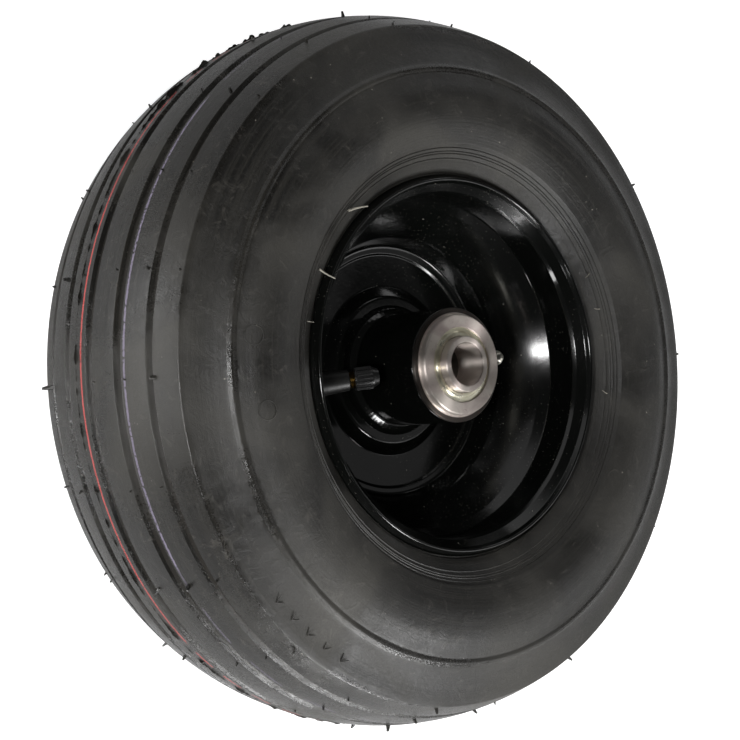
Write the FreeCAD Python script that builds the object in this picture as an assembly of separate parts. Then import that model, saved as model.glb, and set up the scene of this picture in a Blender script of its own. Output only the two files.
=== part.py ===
"""Pneumatic ribbed-tread wheel on a two-piece pressed steel rim with a ball-bearing hub.

Frame: the axle line is Z and the origin is the wheel's centre, on the middle plane of the
tread. The valve side faces +Z. All sizes are in millimetres.
"""
import FreeCAD, Part
import math
import os

from FreeCAD import Vector

os.makedirs("parts", exist_ok=True)

# Tyre
tyre_diameter = 322.4
section_width = 123.5
crown_radius = 110.0
tread_half_width = 47.4
tread_thickness = 10.0
sidewall_thickness = 5.0
shoulder_rib_radius = 130.8
shoulder_rib_half_width = 55.9
shoulder_rib_round = 1.6
shoulder_hollow = 1.3
shoulder_edge_round = 1.2
widest_radius = 113.0
groove_places = (0.0, 18.2, 34.7)
groove_widths = (4.4, 4.0, 2.4)
groove_depths = (5.0, 5.0, 4.4)
groove_taper = 0.7
bead_ring_radius = 97.0
bead_ring_width = 5.0
bead_ring_height = 0.8
bead_ring_half_width = 52.4
bead_width = 12.5

# Rim: one sheet pressing for each side
sheet = 2.0
boss_radius = 33.5
boss_height = 6.6
boss_bend = 2.6
step_radius = 38.6
step_bend = 1.6
well_radius = 56.0
well_bend = 8.0
seat_inner_radius = 74.5
seat_inner_place = 31.5
seat_bend = 10.0
seat_outer_radius = 75.3
flange_place = 46.6
flange_bend = 3.0
lip_radius = 82.6
lip_place = 53.9
lip_bend = 3.2
lip_end_radius = 87.4
lip_end_place = 49.9
seam_weld_radius = 58.6
seam_weld_width = 4.6

# Hub
hub_length = 94.4
hub_outer_radius = 25.4
bearing_radius = 22.225
hub_weld_leg = 4.2

# Bearing
axle_radius = 9.525
bearing_width = 12.7
bearing_flange_radius = 25.4
bearing_flange_thickness = 1.6
bearing_face_stand = 4.9
inner_ring_stand = 3.5
inner_ring_radius = 12.4
inner_shoulder_radius = 13.2
outer_bore_radius = 16.5
ball_radius = 3.175
pitch_radius = 14.85
ball_count = 9
cage_width = 8.4
cage_thickness = 1.5
shield_sheet = 0.4
shield_depth = 0.8
shield_step = 0.5
edge_break = 0.5
spacer_outer_radius = 12.4

# Grease fitting
fitting_angle = 2.7
fitting_place = 35.4
fitting_thread_radius = 3.9
fitting_hex_flats = 11.0
fitting_hex_height = 4.4
fitting_neck_radius = 2.2
fitting_head_radius = 3.2
fitting_reach = 15.2
fitting_hole_radius = 1.3
check_ball_radius = 1.1

# Valve
valve_angle = 183.5
valve_wall_share = 0.5
valve_hole_radius = 5.75
valve_head_radius = 7.6
valve_head_depth = 6.0
valve_head_lip = 2.0
valve_collar_radius = 7.4
valve_collar_height = 3.2
valve_stem_radius = 5.3
valve_neck_radius = 4.5
valve_rubber_height = 22.4
valve_brass_height = 32.0
valve_thread_radius = 3.85
valve_tube_radius = 3.1
valve_air_radius = 1.4
core_radius = 1.9
core_length = 11.0
core_recess = 0.6
pin_radius = 0.6
pin_stand = 0.4
pin_head_length = 2.4
cap_radius = 5.1
cap_length = 11.0
cap_grip = 7.4
cap_rib_count = 18
cap_rib_depth = 0.35

# Clearances
seat_gap = 0.1
press_gap = 0.02
ball_gap = 0.12
running_gap = 0.3
thread_gap = 0.12

# Worked-out places
tread_radius = tyre_diameter / 2
section_half = section_width / 2
shoulder_radius = tread_radius - crown_radius + math.sqrt(crown_radius ** 2 - tread_half_width ** 2)
hub_half = hub_length / 2
bearing_face = hub_half + bearing_face_stand
bearing_back = bearing_face - bearing_width
bearing_middle = bearing_face - bearing_width / 2
inner_ring_face = bearing_face + inner_ring_stand


def corner(before, here, after, radius):
    """Give the two tangent points and the middle point of a rounded corner."""
    a = (before - here).normalize()
    b = (after - here).normalize()
    half = math.acos(max(-1.0, min(1.0, a.dot(b)))) / 2
    room = 0.49 * min(before.distanceToPoint(here), after.distanceToPoint(here))
    reach = min(radius / math.tan(half), room)
    true_radius = reach * math.tan(half)
    bisector = (a + b).normalize()
    middle = here + bisector * (true_radius / math.sin(half) - true_radius)
    return here + a * reach, middle, here + b * reach


def rounded_edges(points, closed):
    """Join (radius, place, rounding) points in the XZ plane by lines and corner arcs."""
    spots = [Vector(p[0], 0, p[1]) for p in points]
    count = len(spots)
    joints = []
    for i, spot in enumerate(spots):
        rounding = points[i][2] if len(points[i]) > 2 else 0
        inside = closed or 0 < i < count - 1
        if inside and rounding > 0:
            joints.append(corner(spots[i - 1], spot, spots[(i + 1) % count], rounding))
        else:
            joints.append((spot, None, spot))
    edges = []
    for i, (first, middle, last) in enumerate(joints):
        if middle is not None:
            edges.append(Part.Arc(first, middle, last).toShape())
        if not closed and i == count - 1:
            break
        following = joints[(i + 1) % count][0]
        if last.distanceToPoint(following) > 1e-6:
            edges.append(Part.LineSegment(last, following).toShape())
    return edges


def revolved(wire):
    """Turn a closed XZ wire once round Z."""
    return Part.Face(wire).revolve(Vector(0, 0, 0), Vector(0, 0, 1), 360)


def ring(points):
    """Turn a rounded outline of (radius, place, rounding) points round Z."""
    solid = revolved(Part.Wire(rounded_edges(points, True)))
    return solid if solid.Volume > 0 else solid.reversed()


def mirrored(shape):
    """Give the copy on the other side of the wheel's middle plane."""
    return shape.mirror(Vector(0, 0, 0), Vector(0, 0, 1))


def offset_path(path, distance):
    """Move an open outline sideways by a distance, keeping its bends parallel."""
    spots = [Vector(p[0], 0, p[1]) for p in path]
    runs = [(b - a).normalize() for a, b in zip(spots, spots[1:])]
    sides = [Vector(-run.z, 0, run.x) for run in runs]
    moved = []
    for i, spot in enumerate(spots):
        bend = path[i][2] if len(path[i]) > 2 else 0
        if i in (0, len(spots) - 1):
            side = sides[min(i, len(sides) - 1)]
            moved.append((spot.x + side.x * distance, spot.z + side.z * distance, 0))
            continue
        turn = runs[i - 1].cross(runs[i]).y
        before, after = sides[i - 1], sides[i]
        shift = (before + after) * (distance / (1 + before.dot(after)))
        grown = bend + distance if turn > 0 else bend - distance
        moved.append((spot.x + shift.x, spot.z + shift.z, max(grown, 0.2)))
    return moved


def sheet_ring(path, thickness):
    """Turn a bent sheet round Z; the path is its open face and the sheet lies behind it."""
    back = offset_path(path, -thickness)
    return ring(list(path) + back[::-1])


def export(shape, name):
    """Write one node."""
    shape.exportStep("parts/" + name + ".step")


def both_sides(shape, name):
    """Write a node on the valve side, the front, and its mirror copy on the back."""
    export(shape, name + "_front")
    export(mirrored(shape), name + "_back")


# Rim pressing, open face, from the hub out to the rolled lip
rim_path = [
    (hub_outer_radius + press_gap, boss_height),
    (boss_radius, boss_height, boss_bend),
    (step_radius, sheet, step_bend),
    (well_radius, sheet, well_bend),
    (seat_inner_radius, seat_inner_place, seat_bend),
    (seat_outer_radius, flange_place, flange_bend),
    (lip_radius, lip_place, lip_bend),
    (lip_end_radius, lip_end_place),
]


def rim_half():
    """Make the valve-side pressing without its valve hole."""
    return sheet_ring(rim_path, sheet)


def hub_tube():
    """Make the welded-in tube that holds both bearings."""
    inner = bearing_radius + press_gap
    return ring([
        (inner, -hub_half), (hub_outer_radius, -hub_half),
        (hub_outer_radius, hub_half), (inner, hub_half),
    ])


def hub_weld():
    """Make the fillet weld between the tube and the rim's boss."""
    return ring([
        (hub_outer_radius, boss_height),
        (hub_outer_radius + hub_weld_leg, boss_height),
        (hub_outer_radius + hub_weld_leg * 0.62, boss_height + hub_weld_leg * 0.62, hub_weld_leg * 0.5),
        (hub_outer_radius, boss_height + hub_weld_leg),
    ])


def seam_weld(rims):
    """Make the bead that closes the V between the two pressings."""
    bead = ring([
        (seam_weld_radius - 4.2, -seam_weld_width / 2), (seam_weld_radius - 0.8, -seam_weld_width / 2, 0.8),
        (seam_weld_radius, 0, 2.0),
        (seam_weld_radius - 0.8, seam_weld_width / 2, 0.8), (seam_weld_radius - 4.2, seam_weld_width / 2),
    ])
    for rim in rims:
        bead = bead.cut(rim)
    return max(bead.Solids, key=lambda solid: solid.Volume)


def tyre_outline():
    """Give half of the tyre's outer outline, from the crown round to the bead's toe."""
    back = offset_path(rim_path, -(sheet + seat_gap))
    seat, flange, lip, end = back[4:8]
    toe_place = flange_place - bead_width
    toe_share = (toe_place - seat[1]) / (flange[1] - seat[1])
    toe_radius = seat[0] + (flange[0] - seat[0]) * toe_share
    return [
        (shoulder_radius, tread_half_width, 0),
        ((shoulder_radius + shoulder_rib_radius) / 2 - shoulder_hollow * 0.4,
         (tread_half_width + shoulder_rib_half_width) / 2 - shoulder_hollow, 30.0),
        (shoulder_rib_radius + 1.6, shoulder_rib_half_width - 0.5, 1.0),
        (shoulder_rib_radius, shoulder_rib_half_width + 0.9, shoulder_rib_round),
        (shoulder_rib_radius - 2.0, shoulder_rib_half_width + 0.3, 1.2),
        (widest_radius + 6.0, section_half, 22.0),
        (widest_radius - 7.0, section_half, 14.0),
        (bead_ring_radius + bead_ring_width / 2 + 1.0, bead_ring_half_width, 3.0),
        (bead_ring_radius + bead_ring_width / 2, bead_ring_half_width + bead_ring_height, 0.5),
        (bead_ring_radius - bead_ring_width / 2, bead_ring_half_width + bead_ring_height - 1.2, 0.5),
        (bead_ring_radius - bead_ring_width / 2 - 1.0, bead_ring_half_width - 2.2, 1.5),
        (lip_end_radius + 0.9, lip_end_place - 1.4, 0.8),
        (end[0], end[1], 0),
        lip,
        flange,
        (toe_radius, toe_place, 1.2),
    ]


def tyre_inner_outline():
    """Give half of the air chamber's outline, from the toe back to the crown."""
    toe_place = flange_place - bead_width
    return [
        (lip_radius + 1.0, toe_place + 1.0, 5.0),
        (bead_ring_radius + 3.0, bead_ring_half_width - 8.5, 8.0),
        (widest_radius - 4.0, section_half - sidewall_thickness, 14.0),
        (widest_radius + 8.0, section_half - sidewall_thickness, 20.0),
        (shoulder_radius - tread_thickness, tread_half_width - 9.0, 16.0),
    ]


def tyre():
    """Make the hollow tyre and cut the tread's five grooves into it."""
    half = tyre_inner_outline()[::-1] + tyre_outline()[::-1]
    other = [(p[0], -p[1], p[2]) for p in half[::-1]]
    top_inner, top_outer = (Vector(p[0], 0, p[1]) for p in (half[0], half[-1]))
    low_outer, low_inner = (Vector(p[0], 0, p[1]) for p in (other[0], other[-1]))
    crown = Part.Arc(top_outer, Vector(tread_radius, 0, 0), low_outer).toShape()
    ceiling = Part.Arc(low_inner, Vector(tread_radius - tread_thickness, 0, 0), top_inner).toShape()
    edges = rounded_edges(half, False) + [crown] + rounded_edges(other, False) + [ceiling]
    body = revolved(Part.Wire(edges))
    if body.Volume < 0:
        body = body.reversed()
    body = body.makeFillet(shoulder_edge_round, shoulder_edges(body))
    for place, width, depth in zip(groove_places, groove_widths, groove_depths):
        for side in (1, -1) if place else (1,):
            body = body.cut(groove_ring(place * side, width, depth))
    return body.Solids[0]


def shoulder_edges(body):
    """Find the two round edges where the tread meets the shoulder band."""
    found = []
    for edge in body.Edges:
        spot = edge.valueAt(edge.FirstParameter)
        level = abs(abs(spot.z) - tread_half_width)
        if level < 0.01 and abs(math.hypot(spot.x, spot.y) - shoulder_radius) < 0.01:
            if edge.BoundBox.ZLength < 0.01:
                found.append(edge)
    return found


def groove_ring(place, width, depth):
    """Make the cutter for one groove round the tread."""
    drop = crown_radius - math.sqrt(crown_radius ** 2 - place ** 2)
    surface = tread_radius - drop
    floor = surface - depth
    top = surface + 2.0
    half = width / 2
    foot = half - groove_taper
    return ring([
        (floor, place - foot, 0.5), (top, place - half), (top, place + half), (floor, place + foot, 0.5),
    ])


def bearing_outer_ring():
    """Make the flanged outer ring with its ball track and shield grooves."""
    track = ball_radius + ball_gap
    body = ring([
        (outer_bore_radius, bearing_back, 0.2), (bearing_radius, bearing_back, edge_break),
        (bearing_radius, hub_half), (bearing_flange_radius, hub_half, 0.3),
        (bearing_flange_radius, hub_half + bearing_flange_thickness, edge_break),
        (bearing_radius, hub_half + bearing_flange_thickness, 0.3),
        (bearing_radius, bearing_face, edge_break), (outer_bore_radius, bearing_face, edge_break),
    ])
    track_ring = Part.makeTorus(pitch_radius, track, Vector(0, 0, bearing_middle))
    body = body.cut(track_ring)
    for face, side in ((bearing_face, -1), (bearing_back, 1)):
        near = face + side * (shield_depth - 0.1)
        far = face + side * (shield_depth + shield_sheet + 0.1)
        body = body.cut(ring([
            (outer_bore_radius - 1, near), (outer_bore_radius + 0.5, near),
            (outer_bore_radius + 0.5, far), (outer_bore_radius - 1, far),
        ]))
    return body.Solids[0]


def bearing_inner_ring():
    """Make the inner ring, whose outer end stands out past the bearing's face."""
    body = ring([
        (axle_radius, bearing_back, 0.4), (inner_shoulder_radius, bearing_back, 0.3),
        (inner_shoulder_radius, bearing_face - shield_depth - shield_sheet - running_gap - 0.2),
        (inner_ring_radius, bearing_face - shield_depth - shield_sheet - running_gap),
        (inner_ring_radius, inner_ring_face, edge_break), (axle_radius, inner_ring_face, edge_break),
    ])
    track_ring = Part.makeTorus(pitch_radius, ball_radius + ball_gap, Vector(0, 0, bearing_middle))
    return body.cut(track_ring).Solids[0]


def bearing_balls():
    """Make one row of balls."""
    balls = []
    for i in range(ball_count):
        turn = 2 * math.pi * i / ball_count
        place = Vector(pitch_radius * math.cos(turn), pitch_radius * math.sin(turn), bearing_middle)
        balls.append(Part.makeSphere(ball_radius, place))
    return Part.makeCompound(balls)


def ball_cage():
    """Make the cage ring with a round pocket for each ball."""
    low = pitch_radius - cage_thickness / 2
    high = pitch_radius + cage_thickness / 2
    body = ring([
        (low, bearing_middle - cage_width / 2), (high, bearing_middle - cage_width / 2),
        (high, bearing_middle + cage_width / 2), (low, bearing_middle + cage_width / 2),
    ])
    pocket = ball_radius + ball_gap * 0.8
    for i in range(ball_count):
        turn = 2 * math.pi * i / ball_count
        direction = Vector(math.cos(turn), math.sin(turn), 0)
        start = direction * (low - 1.0) + Vector(0, 0, bearing_middle)
        body = body.cut(Part.makeCylinder(pocket, cage_thickness + 2.0, start, direction))
    return body.Solids[0]


def shield(face, side, land):
    """Make one pressed shield; side is the way in from the bearing's face."""
    near = face + side * shield_depth
    far = near + side * shield_sheet
    lift = -side * shield_step
    inner = land + running_gap
    step = (inner + outer_bore_radius) / 2
    outer = outer_bore_radius + 0.4
    return ring([
        (inner, near + lift), (step - 0.3, near + lift), (step + 0.3, near), (outer, near),
        (outer, far), (step + 0.1, far), (step - 0.5, far + lift), (inner, far + lift),
    ])


def spacer_sleeve():
    """Make the sleeve that keeps the two inner rings apart."""
    inner = axle_radius + 0.15
    end = bearing_back
    return ring([(inner, -end), (spacer_outer_radius, -end), (spacer_outer_radius, end), (inner, end)])


def place_on_wheel(shape, radius, height, lean, angle):
    """Stand a piece made along +Z on the wheel: lean turns it from +Z inwards."""
    shape.rotate(Vector(0, 0, 0), Vector(0, 1, 0), lean)
    shape.translate(Vector(radius, 0, height))
    shape.rotate(Vector(0, 0, 0), Vector(0, 0, 1), angle)
    return shape


def prism(flats, height, start):
    """Make a hexagonal prism along +Z."""
    reach = flats / math.sqrt(3)
    points = []
    for i in range(7):
        turn = math.pi / 3 * i
        points.append(Vector(reach * math.cos(turn), reach * math.sin(turn), start))
    return Part.Face(Part.makePolygon(points)).extrude(Vector(0, 0, height))


def on_hub(shape):
    """Point a grease fitting piece straight out of the hub tube."""
    return place_on_wheel(shape, 0, fitting_place, 90, fitting_angle)


def check_ball_place():
    """Distance of the check ball's centre from the axle line."""
    return hub_outer_radius + fitting_reach - check_ball_radius - 0.25


def fitting_body():
    """Make the grease fitting: thread, hexagon, neck and rounded head with its mouth."""
    top = hub_outer_radius + fitting_reach
    hex_start = hub_outer_radius + 0.6
    hex_end = hex_start + fitting_hex_height
    wall = hub_outer_radius - bearing_radius
    turned = ring([
        (0, hub_outer_radius - wall - 0.6), (fitting_thread_radius - 0.3, hub_outer_radius - wall - 0.6),
        (fitting_thread_radius, hex_start), (fitting_thread_radius, hex_end),
        (fitting_neck_radius + 0.9, hex_end + 0.8), (fitting_neck_radius, hex_end + 2.2, 0.8),
        (fitting_neck_radius, top - 4.6, 0.6), (fitting_head_radius, top - 3.6, 0.7),
        (fitting_head_radius, top - 2.0, 1.0), (fitting_hole_radius + 0.5, top), (0, top),
    ])
    hexagon = prism(fitting_hex_flats, fitting_hex_height, hex_start)
    cone = ring([
        (0, hex_start - 1), (fitting_hex_flats, hex_start - 1),
        (fitting_hex_flats, hex_end - fitting_hex_flats * 0.36),
        (fitting_hex_flats / 2 - 0.3, hex_end + 0.1), (0, hex_end + 0.1),
    ])
    body = turned.fuse(hexagon.common(cone))
    seat = check_ball_place()
    chamber = check_ball_radius + ball_gap
    bore = ring([
        (0, hub_outer_radius - wall - 2), (chamber, hub_outer_radius - wall - 2),
        (chamber, seat), (chamber * 0.72, top + 0.5), (0, top + 0.5),
    ])
    return on_hub(body.cut(bore).removeSplitter().Solids[0])


def check_ball():
    """Make the fitting's check ball."""
    return on_hub(Part.makeSphere(check_ball_radius, Vector(0, 0, check_ball_place())))


# Valve line: it leaves the well's sloping wall at a right angle
well_spot = Vector(well_radius, 0, sheet)
seat_spot = Vector(seat_inner_radius, 0, seat_inner_place)
valve_foot = well_spot + (seat_spot - well_spot) * valve_wall_share
wall_run = (seat_spot - well_spot).normalize()
valve_lean = -math.degrees(math.atan2(wall_run.z, wall_run.x))


def on_wall(shape):
    """Stand a valve piece, made along +Z from the rim's open face, on the rim."""
    return place_on_wheel(shape, valve_foot.x, valve_foot.z, valve_lean, valve_angle)


def valve_hole():
    """Make the cutter for the valve's hole."""
    return on_wall(Part.makeCylinder(valve_hole_radius, 3 * sheet, Vector(0, 0, -2 * sheet)))


def valve_rubber(rim):
    """Make the moulded rubber stem, pulled through the hole up to its collar."""
    neck = valve_hole_radius - press_gap
    foot = -sheet - valve_head_depth
    solid = ring([
        (valve_tube_radius, foot), (valve_head_radius - 1.4, foot, 0.8),
        (valve_head_radius, foot + valve_head_lip, 1.0), (valve_head_radius, -sheet * 0.7),
        (neck, -sheet * 0.7), (neck, -sheet * 0.3), (valve_collar_radius, -sheet * 0.3),
        (valve_collar_radius, 1.0, 0.6),
        (valve_stem_radius + 0.3, valve_collar_height, 1.0),
        (valve_stem_radius, valve_rubber_height * 0.55, 4.0),
        (valve_neck_radius, valve_rubber_height, 0.6), (valve_tube_radius, valve_rubber_height),
    ])
    return on_wall(solid).cut(rim).Solids[0]


def valve_brass():
    """Make the brass tube with its threaded mouth and flared foot."""
    foot = -sheet - valve_head_depth
    shoulder = valve_rubber_height
    core_floor = valve_brass_height - core_length - 1.0
    inside = core_radius + press_gap
    return on_wall(ring([
        (valve_air_radius, foot), (valve_tube_radius - press_gap, foot),
        (valve_tube_radius - press_gap, shoulder), (valve_thread_radius, shoulder + 0.5),
        (valve_thread_radius, valve_brass_height, 0.5), (inside, valve_brass_height),
        (inside, core_floor), (valve_air_radius, core_floor - 1.0),
    ]))


def valve_core():
    """Make the screwed-in valve core barrel."""
    top = valve_brass_height - core_recess
    bottom = top - core_length
    inside = pin_radius + running_gap
    return on_wall(ring([
        (inside, bottom), (core_radius - 0.3, bottom), (core_radius, bottom + 2.0),
        (core_radius, top), (inside, top),
    ]))


def valve_pin():
    """Make the core's pin with the small sealing head under the barrel."""
    top = valve_brass_height + pin_stand
    barrel_bottom = valve_brass_height - core_recess - core_length
    head_bottom = barrel_bottom - pin_head_length
    head = pin_radius * 1.8
    knob = pin_radius * 1.2
    return on_wall(ring([
        (0, head_bottom), (pin_radius, head_bottom), (head, head_bottom + 0.6),
        (head, barrel_bottom - 0.2), (pin_radius, barrel_bottom - 0.2),
        (pin_radius, top - 0.3), (knob, top - 0.3), (knob, top), (0, top),
    ]))


def valve_cap():
    """Make the ribbed dust cap screwed over the stem's mouth."""
    mouth = valve_brass_height - cap_grip
    end = mouth + cap_length
    thread = valve_thread_radius + thread_gap
    floor = valve_brass_height + 0.3
    body = ring([
        (thread, mouth), (cap_radius - 0.3, mouth, 0.3), (cap_radius, mouth + 1.6, 0.4),
        (cap_radius, end - 2.6, 0.6), (cap_radius - 1.0, end - 1.6, 0.5), (cap_radius - 1.6, end, 0.5),
        (0, end), (0, floor + 1.2), (1.4, floor + 1.2), (1.4, floor), (thread, floor),
    ])
    for i in range(cap_rib_count):
        turn = 2 * math.pi * i / cap_rib_count
        spot = Vector(cap_radius * math.cos(turn), cap_radius * math.sin(turn), mouth + 0.8)
        body = body.cut(Part.makeCylinder(cap_rib_depth, cap_length * 0.62, spot))
    return on_wall(body.Solids[0])


front_rim = rim_half()
back_rim = mirrored(front_rim)
seam = seam_weld((front_rim, back_rim))
front_rim = front_rim.cut(valve_hole()).Solids[0]
fitting = fitting_body()
drilled_tube = hub_tube().cut(on_hub(Part.makeCylinder(fitting_thread_radius, 30, Vector(0, 0, 10))))

export(tyre(), "tyre")
export(front_rim, "rim_half_front")
export(back_rim, "rim_half_back")
export(seam, "rim_seam_weld")
export(drilled_tube.Solids[0], "hub_tube")
both_sides(hub_weld(), "hub_weld")
both_sides(bearing_outer_ring(), "bearing_outer_ring")
both_sides(bearing_inner_ring(), "bearing_inner_ring")
both_sides(bearing_balls(), "bearing_balls")
both_sides(ball_cage(), "ball_cage")
both_sides(shield(bearing_face, -1, inner_ring_radius), "bearing_shield_outer")
both_sides(shield(bearing_back, 1, inner_shoulder_radius), "bearing_shield_inner")
export(spacer_sleeve(), "spacer_sleeve")
export(fitting, "grease_fitting_body")
export(check_ball(), "grease_fitting_ball")
export(valve_rubber(front_rim), "valve_stem_rubber")
export(valve_brass(), "valve_stem_brass")
export(valve_core(), "valve_core_barrel")
export(valve_pin(), "valve_core_pin")
export(valve_cap(), "valve_cap")
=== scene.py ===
"""Finish and light a pneumatic ribbed wheel on a pressed steel rim.

The axle line is Z, the valve side faces +Z and the origin is the wheel's middle. Lengths are
millimetres, as on a drawing, and a mesh is turned to metres when it is made.
"""
import logging
import math
from collections.abc import Callable, Sequence
from dataclasses import dataclass, field
from enum import Enum
from functools import partial

import bmesh
import bpy
from mathutils import Matrix, Vector, noise


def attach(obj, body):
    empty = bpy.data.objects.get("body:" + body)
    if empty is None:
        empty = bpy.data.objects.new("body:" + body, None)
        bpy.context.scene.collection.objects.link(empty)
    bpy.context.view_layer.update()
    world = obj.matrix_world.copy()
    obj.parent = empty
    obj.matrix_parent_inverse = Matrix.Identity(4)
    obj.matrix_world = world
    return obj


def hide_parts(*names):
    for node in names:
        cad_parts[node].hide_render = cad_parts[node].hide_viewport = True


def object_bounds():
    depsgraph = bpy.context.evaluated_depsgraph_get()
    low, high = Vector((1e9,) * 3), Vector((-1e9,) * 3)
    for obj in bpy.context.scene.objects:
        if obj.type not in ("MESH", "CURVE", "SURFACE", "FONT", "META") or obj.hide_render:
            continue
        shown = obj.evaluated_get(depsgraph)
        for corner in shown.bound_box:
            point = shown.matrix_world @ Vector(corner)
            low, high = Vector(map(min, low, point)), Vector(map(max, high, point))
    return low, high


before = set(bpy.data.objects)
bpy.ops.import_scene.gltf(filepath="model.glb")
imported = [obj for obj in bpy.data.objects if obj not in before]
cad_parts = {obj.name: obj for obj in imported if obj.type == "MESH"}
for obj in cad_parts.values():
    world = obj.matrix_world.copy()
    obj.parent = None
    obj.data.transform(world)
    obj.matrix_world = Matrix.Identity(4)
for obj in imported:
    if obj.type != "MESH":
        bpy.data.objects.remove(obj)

CAD_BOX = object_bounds()
MM = 0.001
SHARP_ANGLE = 38.0
HAIR_LENGTH = 2.0
# How far the tread runs out of true: its lean in degrees about X and Y, and its shift.
TYRE_LEAN = (-0.209, 0.309)
TYRE_SHIFT = (-0.36, 0.56, -0.91)
log = logging.getLogger("wheel")

Corner = tuple[float, float, float]
Spot = tuple[float, float]
Relief = Callable[[float, float, float], float]
Feed = bpy.types.Node | bpy.types.NodeSocket


class Side(Enum):
    """The two faces of the wheel, with the sign of their place along the axle."""

    FRONT = 1
    BACK = -1

    @property
    def word(self) -> str:
        """Give the ending that this side's nodes have."""
        return self.name.lower()


class Body(Enum):
    """The moving groups of the wheel."""

    WHEEL = "wheel"
    RACES = "inner_races"
    CAP = "dust_cap"


def linear(colour: str) -> tuple[float, float, float, float]:
    """Turn an sRGB hex colour to linear light.

    Args:
        colour: The colour as "#rrggbb".

    Returns:
        Red, green, blue and an alpha of one.
    """
    parts = [int(colour[i:i + 2], 16) / 255 for i in (1, 3, 5)]
    red, green, blue = (c / 12.92 if c <= 0.04045 else ((c + 0.055) / 1.055) ** 2.4 for c in parts)
    return red, green, blue, 1.0


def add(tree: bpy.types.NodeTree, kind: str, inputs: dict | Sequence = (), **settings) -> bpy.types.Node:
    """Add one node.

    Args:
        tree: The tree that gets the node.
        kind: The node's type name.
        inputs: What each input gets, by name or number or in order: a value, a socket, or a node
            that feeds it from its first output.
        **settings: The node's own properties.

    Returns:
        The new node.
    """
    node = tree.nodes.new(kind)
    for name, value in settings.items():
        setattr(node, name, value)
    for key, value in inputs.items() if isinstance(inputs, dict) else enumerate(inputs):
        if isinstance(value, bpy.types.Node):
            value = value.outputs[0]
        if isinstance(value, bpy.types.NodeSocket):
            tree.links.new(value, node.inputs[key])
        else:
            node.inputs[key].default_value = value
    return node


def rounded(corners: Sequence[Corner], closed: bool = True, step: float = 12.0) -> list[Spot]:
    """Turn corners with a rounding into the points of an outline.

    Args:
        corners: Radius, place along the axle and rounding of each corner.
        closed: Whether the last corner joins the first.
        step: Degrees of turn between the points of an arc.

    Returns:
        The outline as radius and place.
    """
    points: list[Spot] = []
    count = len(corners)
    for i, (radius, place, rounding) in enumerate(corners):
        here = Vector((radius, place))
        if rounding <= 0 or (not closed and i in (0, count - 1)):
            points.append((radius, place))
            continue
        before = Vector(corners[i - 1][:2]) - here
        after = Vector(corners[(i + 1) % count][:2]) - here
        room = 0.49 * min(before.length, after.length)
        a, b = before.normalized(), after.normalized()
        half = math.acos(max(-1.0, min(1.0, a.dot(b)))) / 2
        if half > math.radians(89.5):
            points.append((radius, place))
            continue
        reach = min(rounding / math.tan(half), room)
        size = reach * math.tan(half)
        middle = here + (a + b).normalized() * (size / math.sin(half))
        start = here + a * reach - middle
        sweep = math.pi - 2 * half
        sense = 1 if start.cross(here + b * reach - middle) > 0 else -1
        pieces = max(2, math.ceil(math.degrees(sweep) / step))
        for k in range(pieces + 1):
            spot = middle + Matrix.Rotation(sense * sweep * k / pieces, 2) @ start
            points.append((spot.x, spot.y))
    return points


def offset(path: Sequence[Corner], distance: float) -> list[Corner]:
    """Move an open outline sideways and keep its bends parallel.

    Args:
        path: The outline's corners.
        distance: How far to move it, to the left of its run.

    Returns:
        The moved corners.
    """
    spots = [Vector(p[:2]) for p in path]
    runs = [(b - a).normalized() for a, b in zip(spots, spots[1:])]
    lefts = [Vector((-run.y, run.x)) for run in runs]
    moved: list[Corner] = []
    for i, spot in enumerate(spots):
        if i in (0, len(spots) - 1):
            shift = lefts[min(i, len(lefts) - 1)] * distance
            bend = 0.0
        else:
            before, after = lefts[i - 1], lefts[i]
            shift = (before + after) * (distance / (1 + before.dot(after)))
            inside = runs[i - 1].y * runs[i].x - runs[i - 1].x * runs[i].y > 0
            bend = max(path[i][2] + (distance if inside else -distance), 0.2)
        moved.append((spot.x + shift.x, spot.y + shift.y, bend))
    return moved


def lathe(outline: Sequence[Spot], segments: int, relief: Relief | None = None) -> bpy.types.Mesh:
    """Turn a closed outline once round the axle line.

    Args:
        outline: Radius and place of each point.
        segments: Number of steps round the axle.
        relief: Gives the radius to use at a radius, place and angle.

    Returns:
        A smooth closed mesh in metres with its faces outwards.
    """
    angles = [2 * math.pi * k / segments for k in range(segments)]
    points: list[tuple[float, float, float]] = []
    for angle in angles:
        cosine, sine = math.cos(angle) * MM, math.sin(angle) * MM
        for radius, place in outline:
            reach = relief(radius, place, angle) if relief else radius
            points.append((reach * cosine, reach * sine, place * MM))
    size = len(outline)
    faces = []
    for k in range(segments):
        here, ahead = k * size, ((k + 1) % segments) * size
        for i in range(size):
            j = (i + 1) % size
            faces.append((here + i, here + j, ahead + j, ahead + i))
    return finished(points, faces)


def finished(points: Sequence, faces: Sequence) -> bpy.types.Mesh:
    """Make a merged mesh with outward faces and smooth shading.

    Args:
        points: Vertex places in metres.
        faces: Vertex numbers of each face.

    Returns:
        The mesh.
    """
    mesh = bpy.data.meshes.new("piece")
    mesh.from_pydata(points, [], faces)
    work = bmesh.new()
    work.from_mesh(mesh)
    bmesh.ops.remove_doubles(work, verts=work.verts, dist=1e-7)
    bmesh.ops.recalc_face_normals(work, faces=work.faces)
    work.to_mesh(mesh)
    work.free()
    mesh.shade_smooth()
    mesh.set_sharp_from_angle(angle=math.radians(SHARP_ANGLE))
    return mesh


def turn(axis: str, degrees: float, size: int = 4) -> Matrix:
    """Give a rotation about an axis."""
    return Matrix.Rotation(math.radians(degrees), size, axis)


def mirror(outline: Sequence[Spot], side: Side) -> list[Spot]:
    """Put a front outline on the given side."""
    return [(radius, place * side.value) for radius, place in outline]


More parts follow.
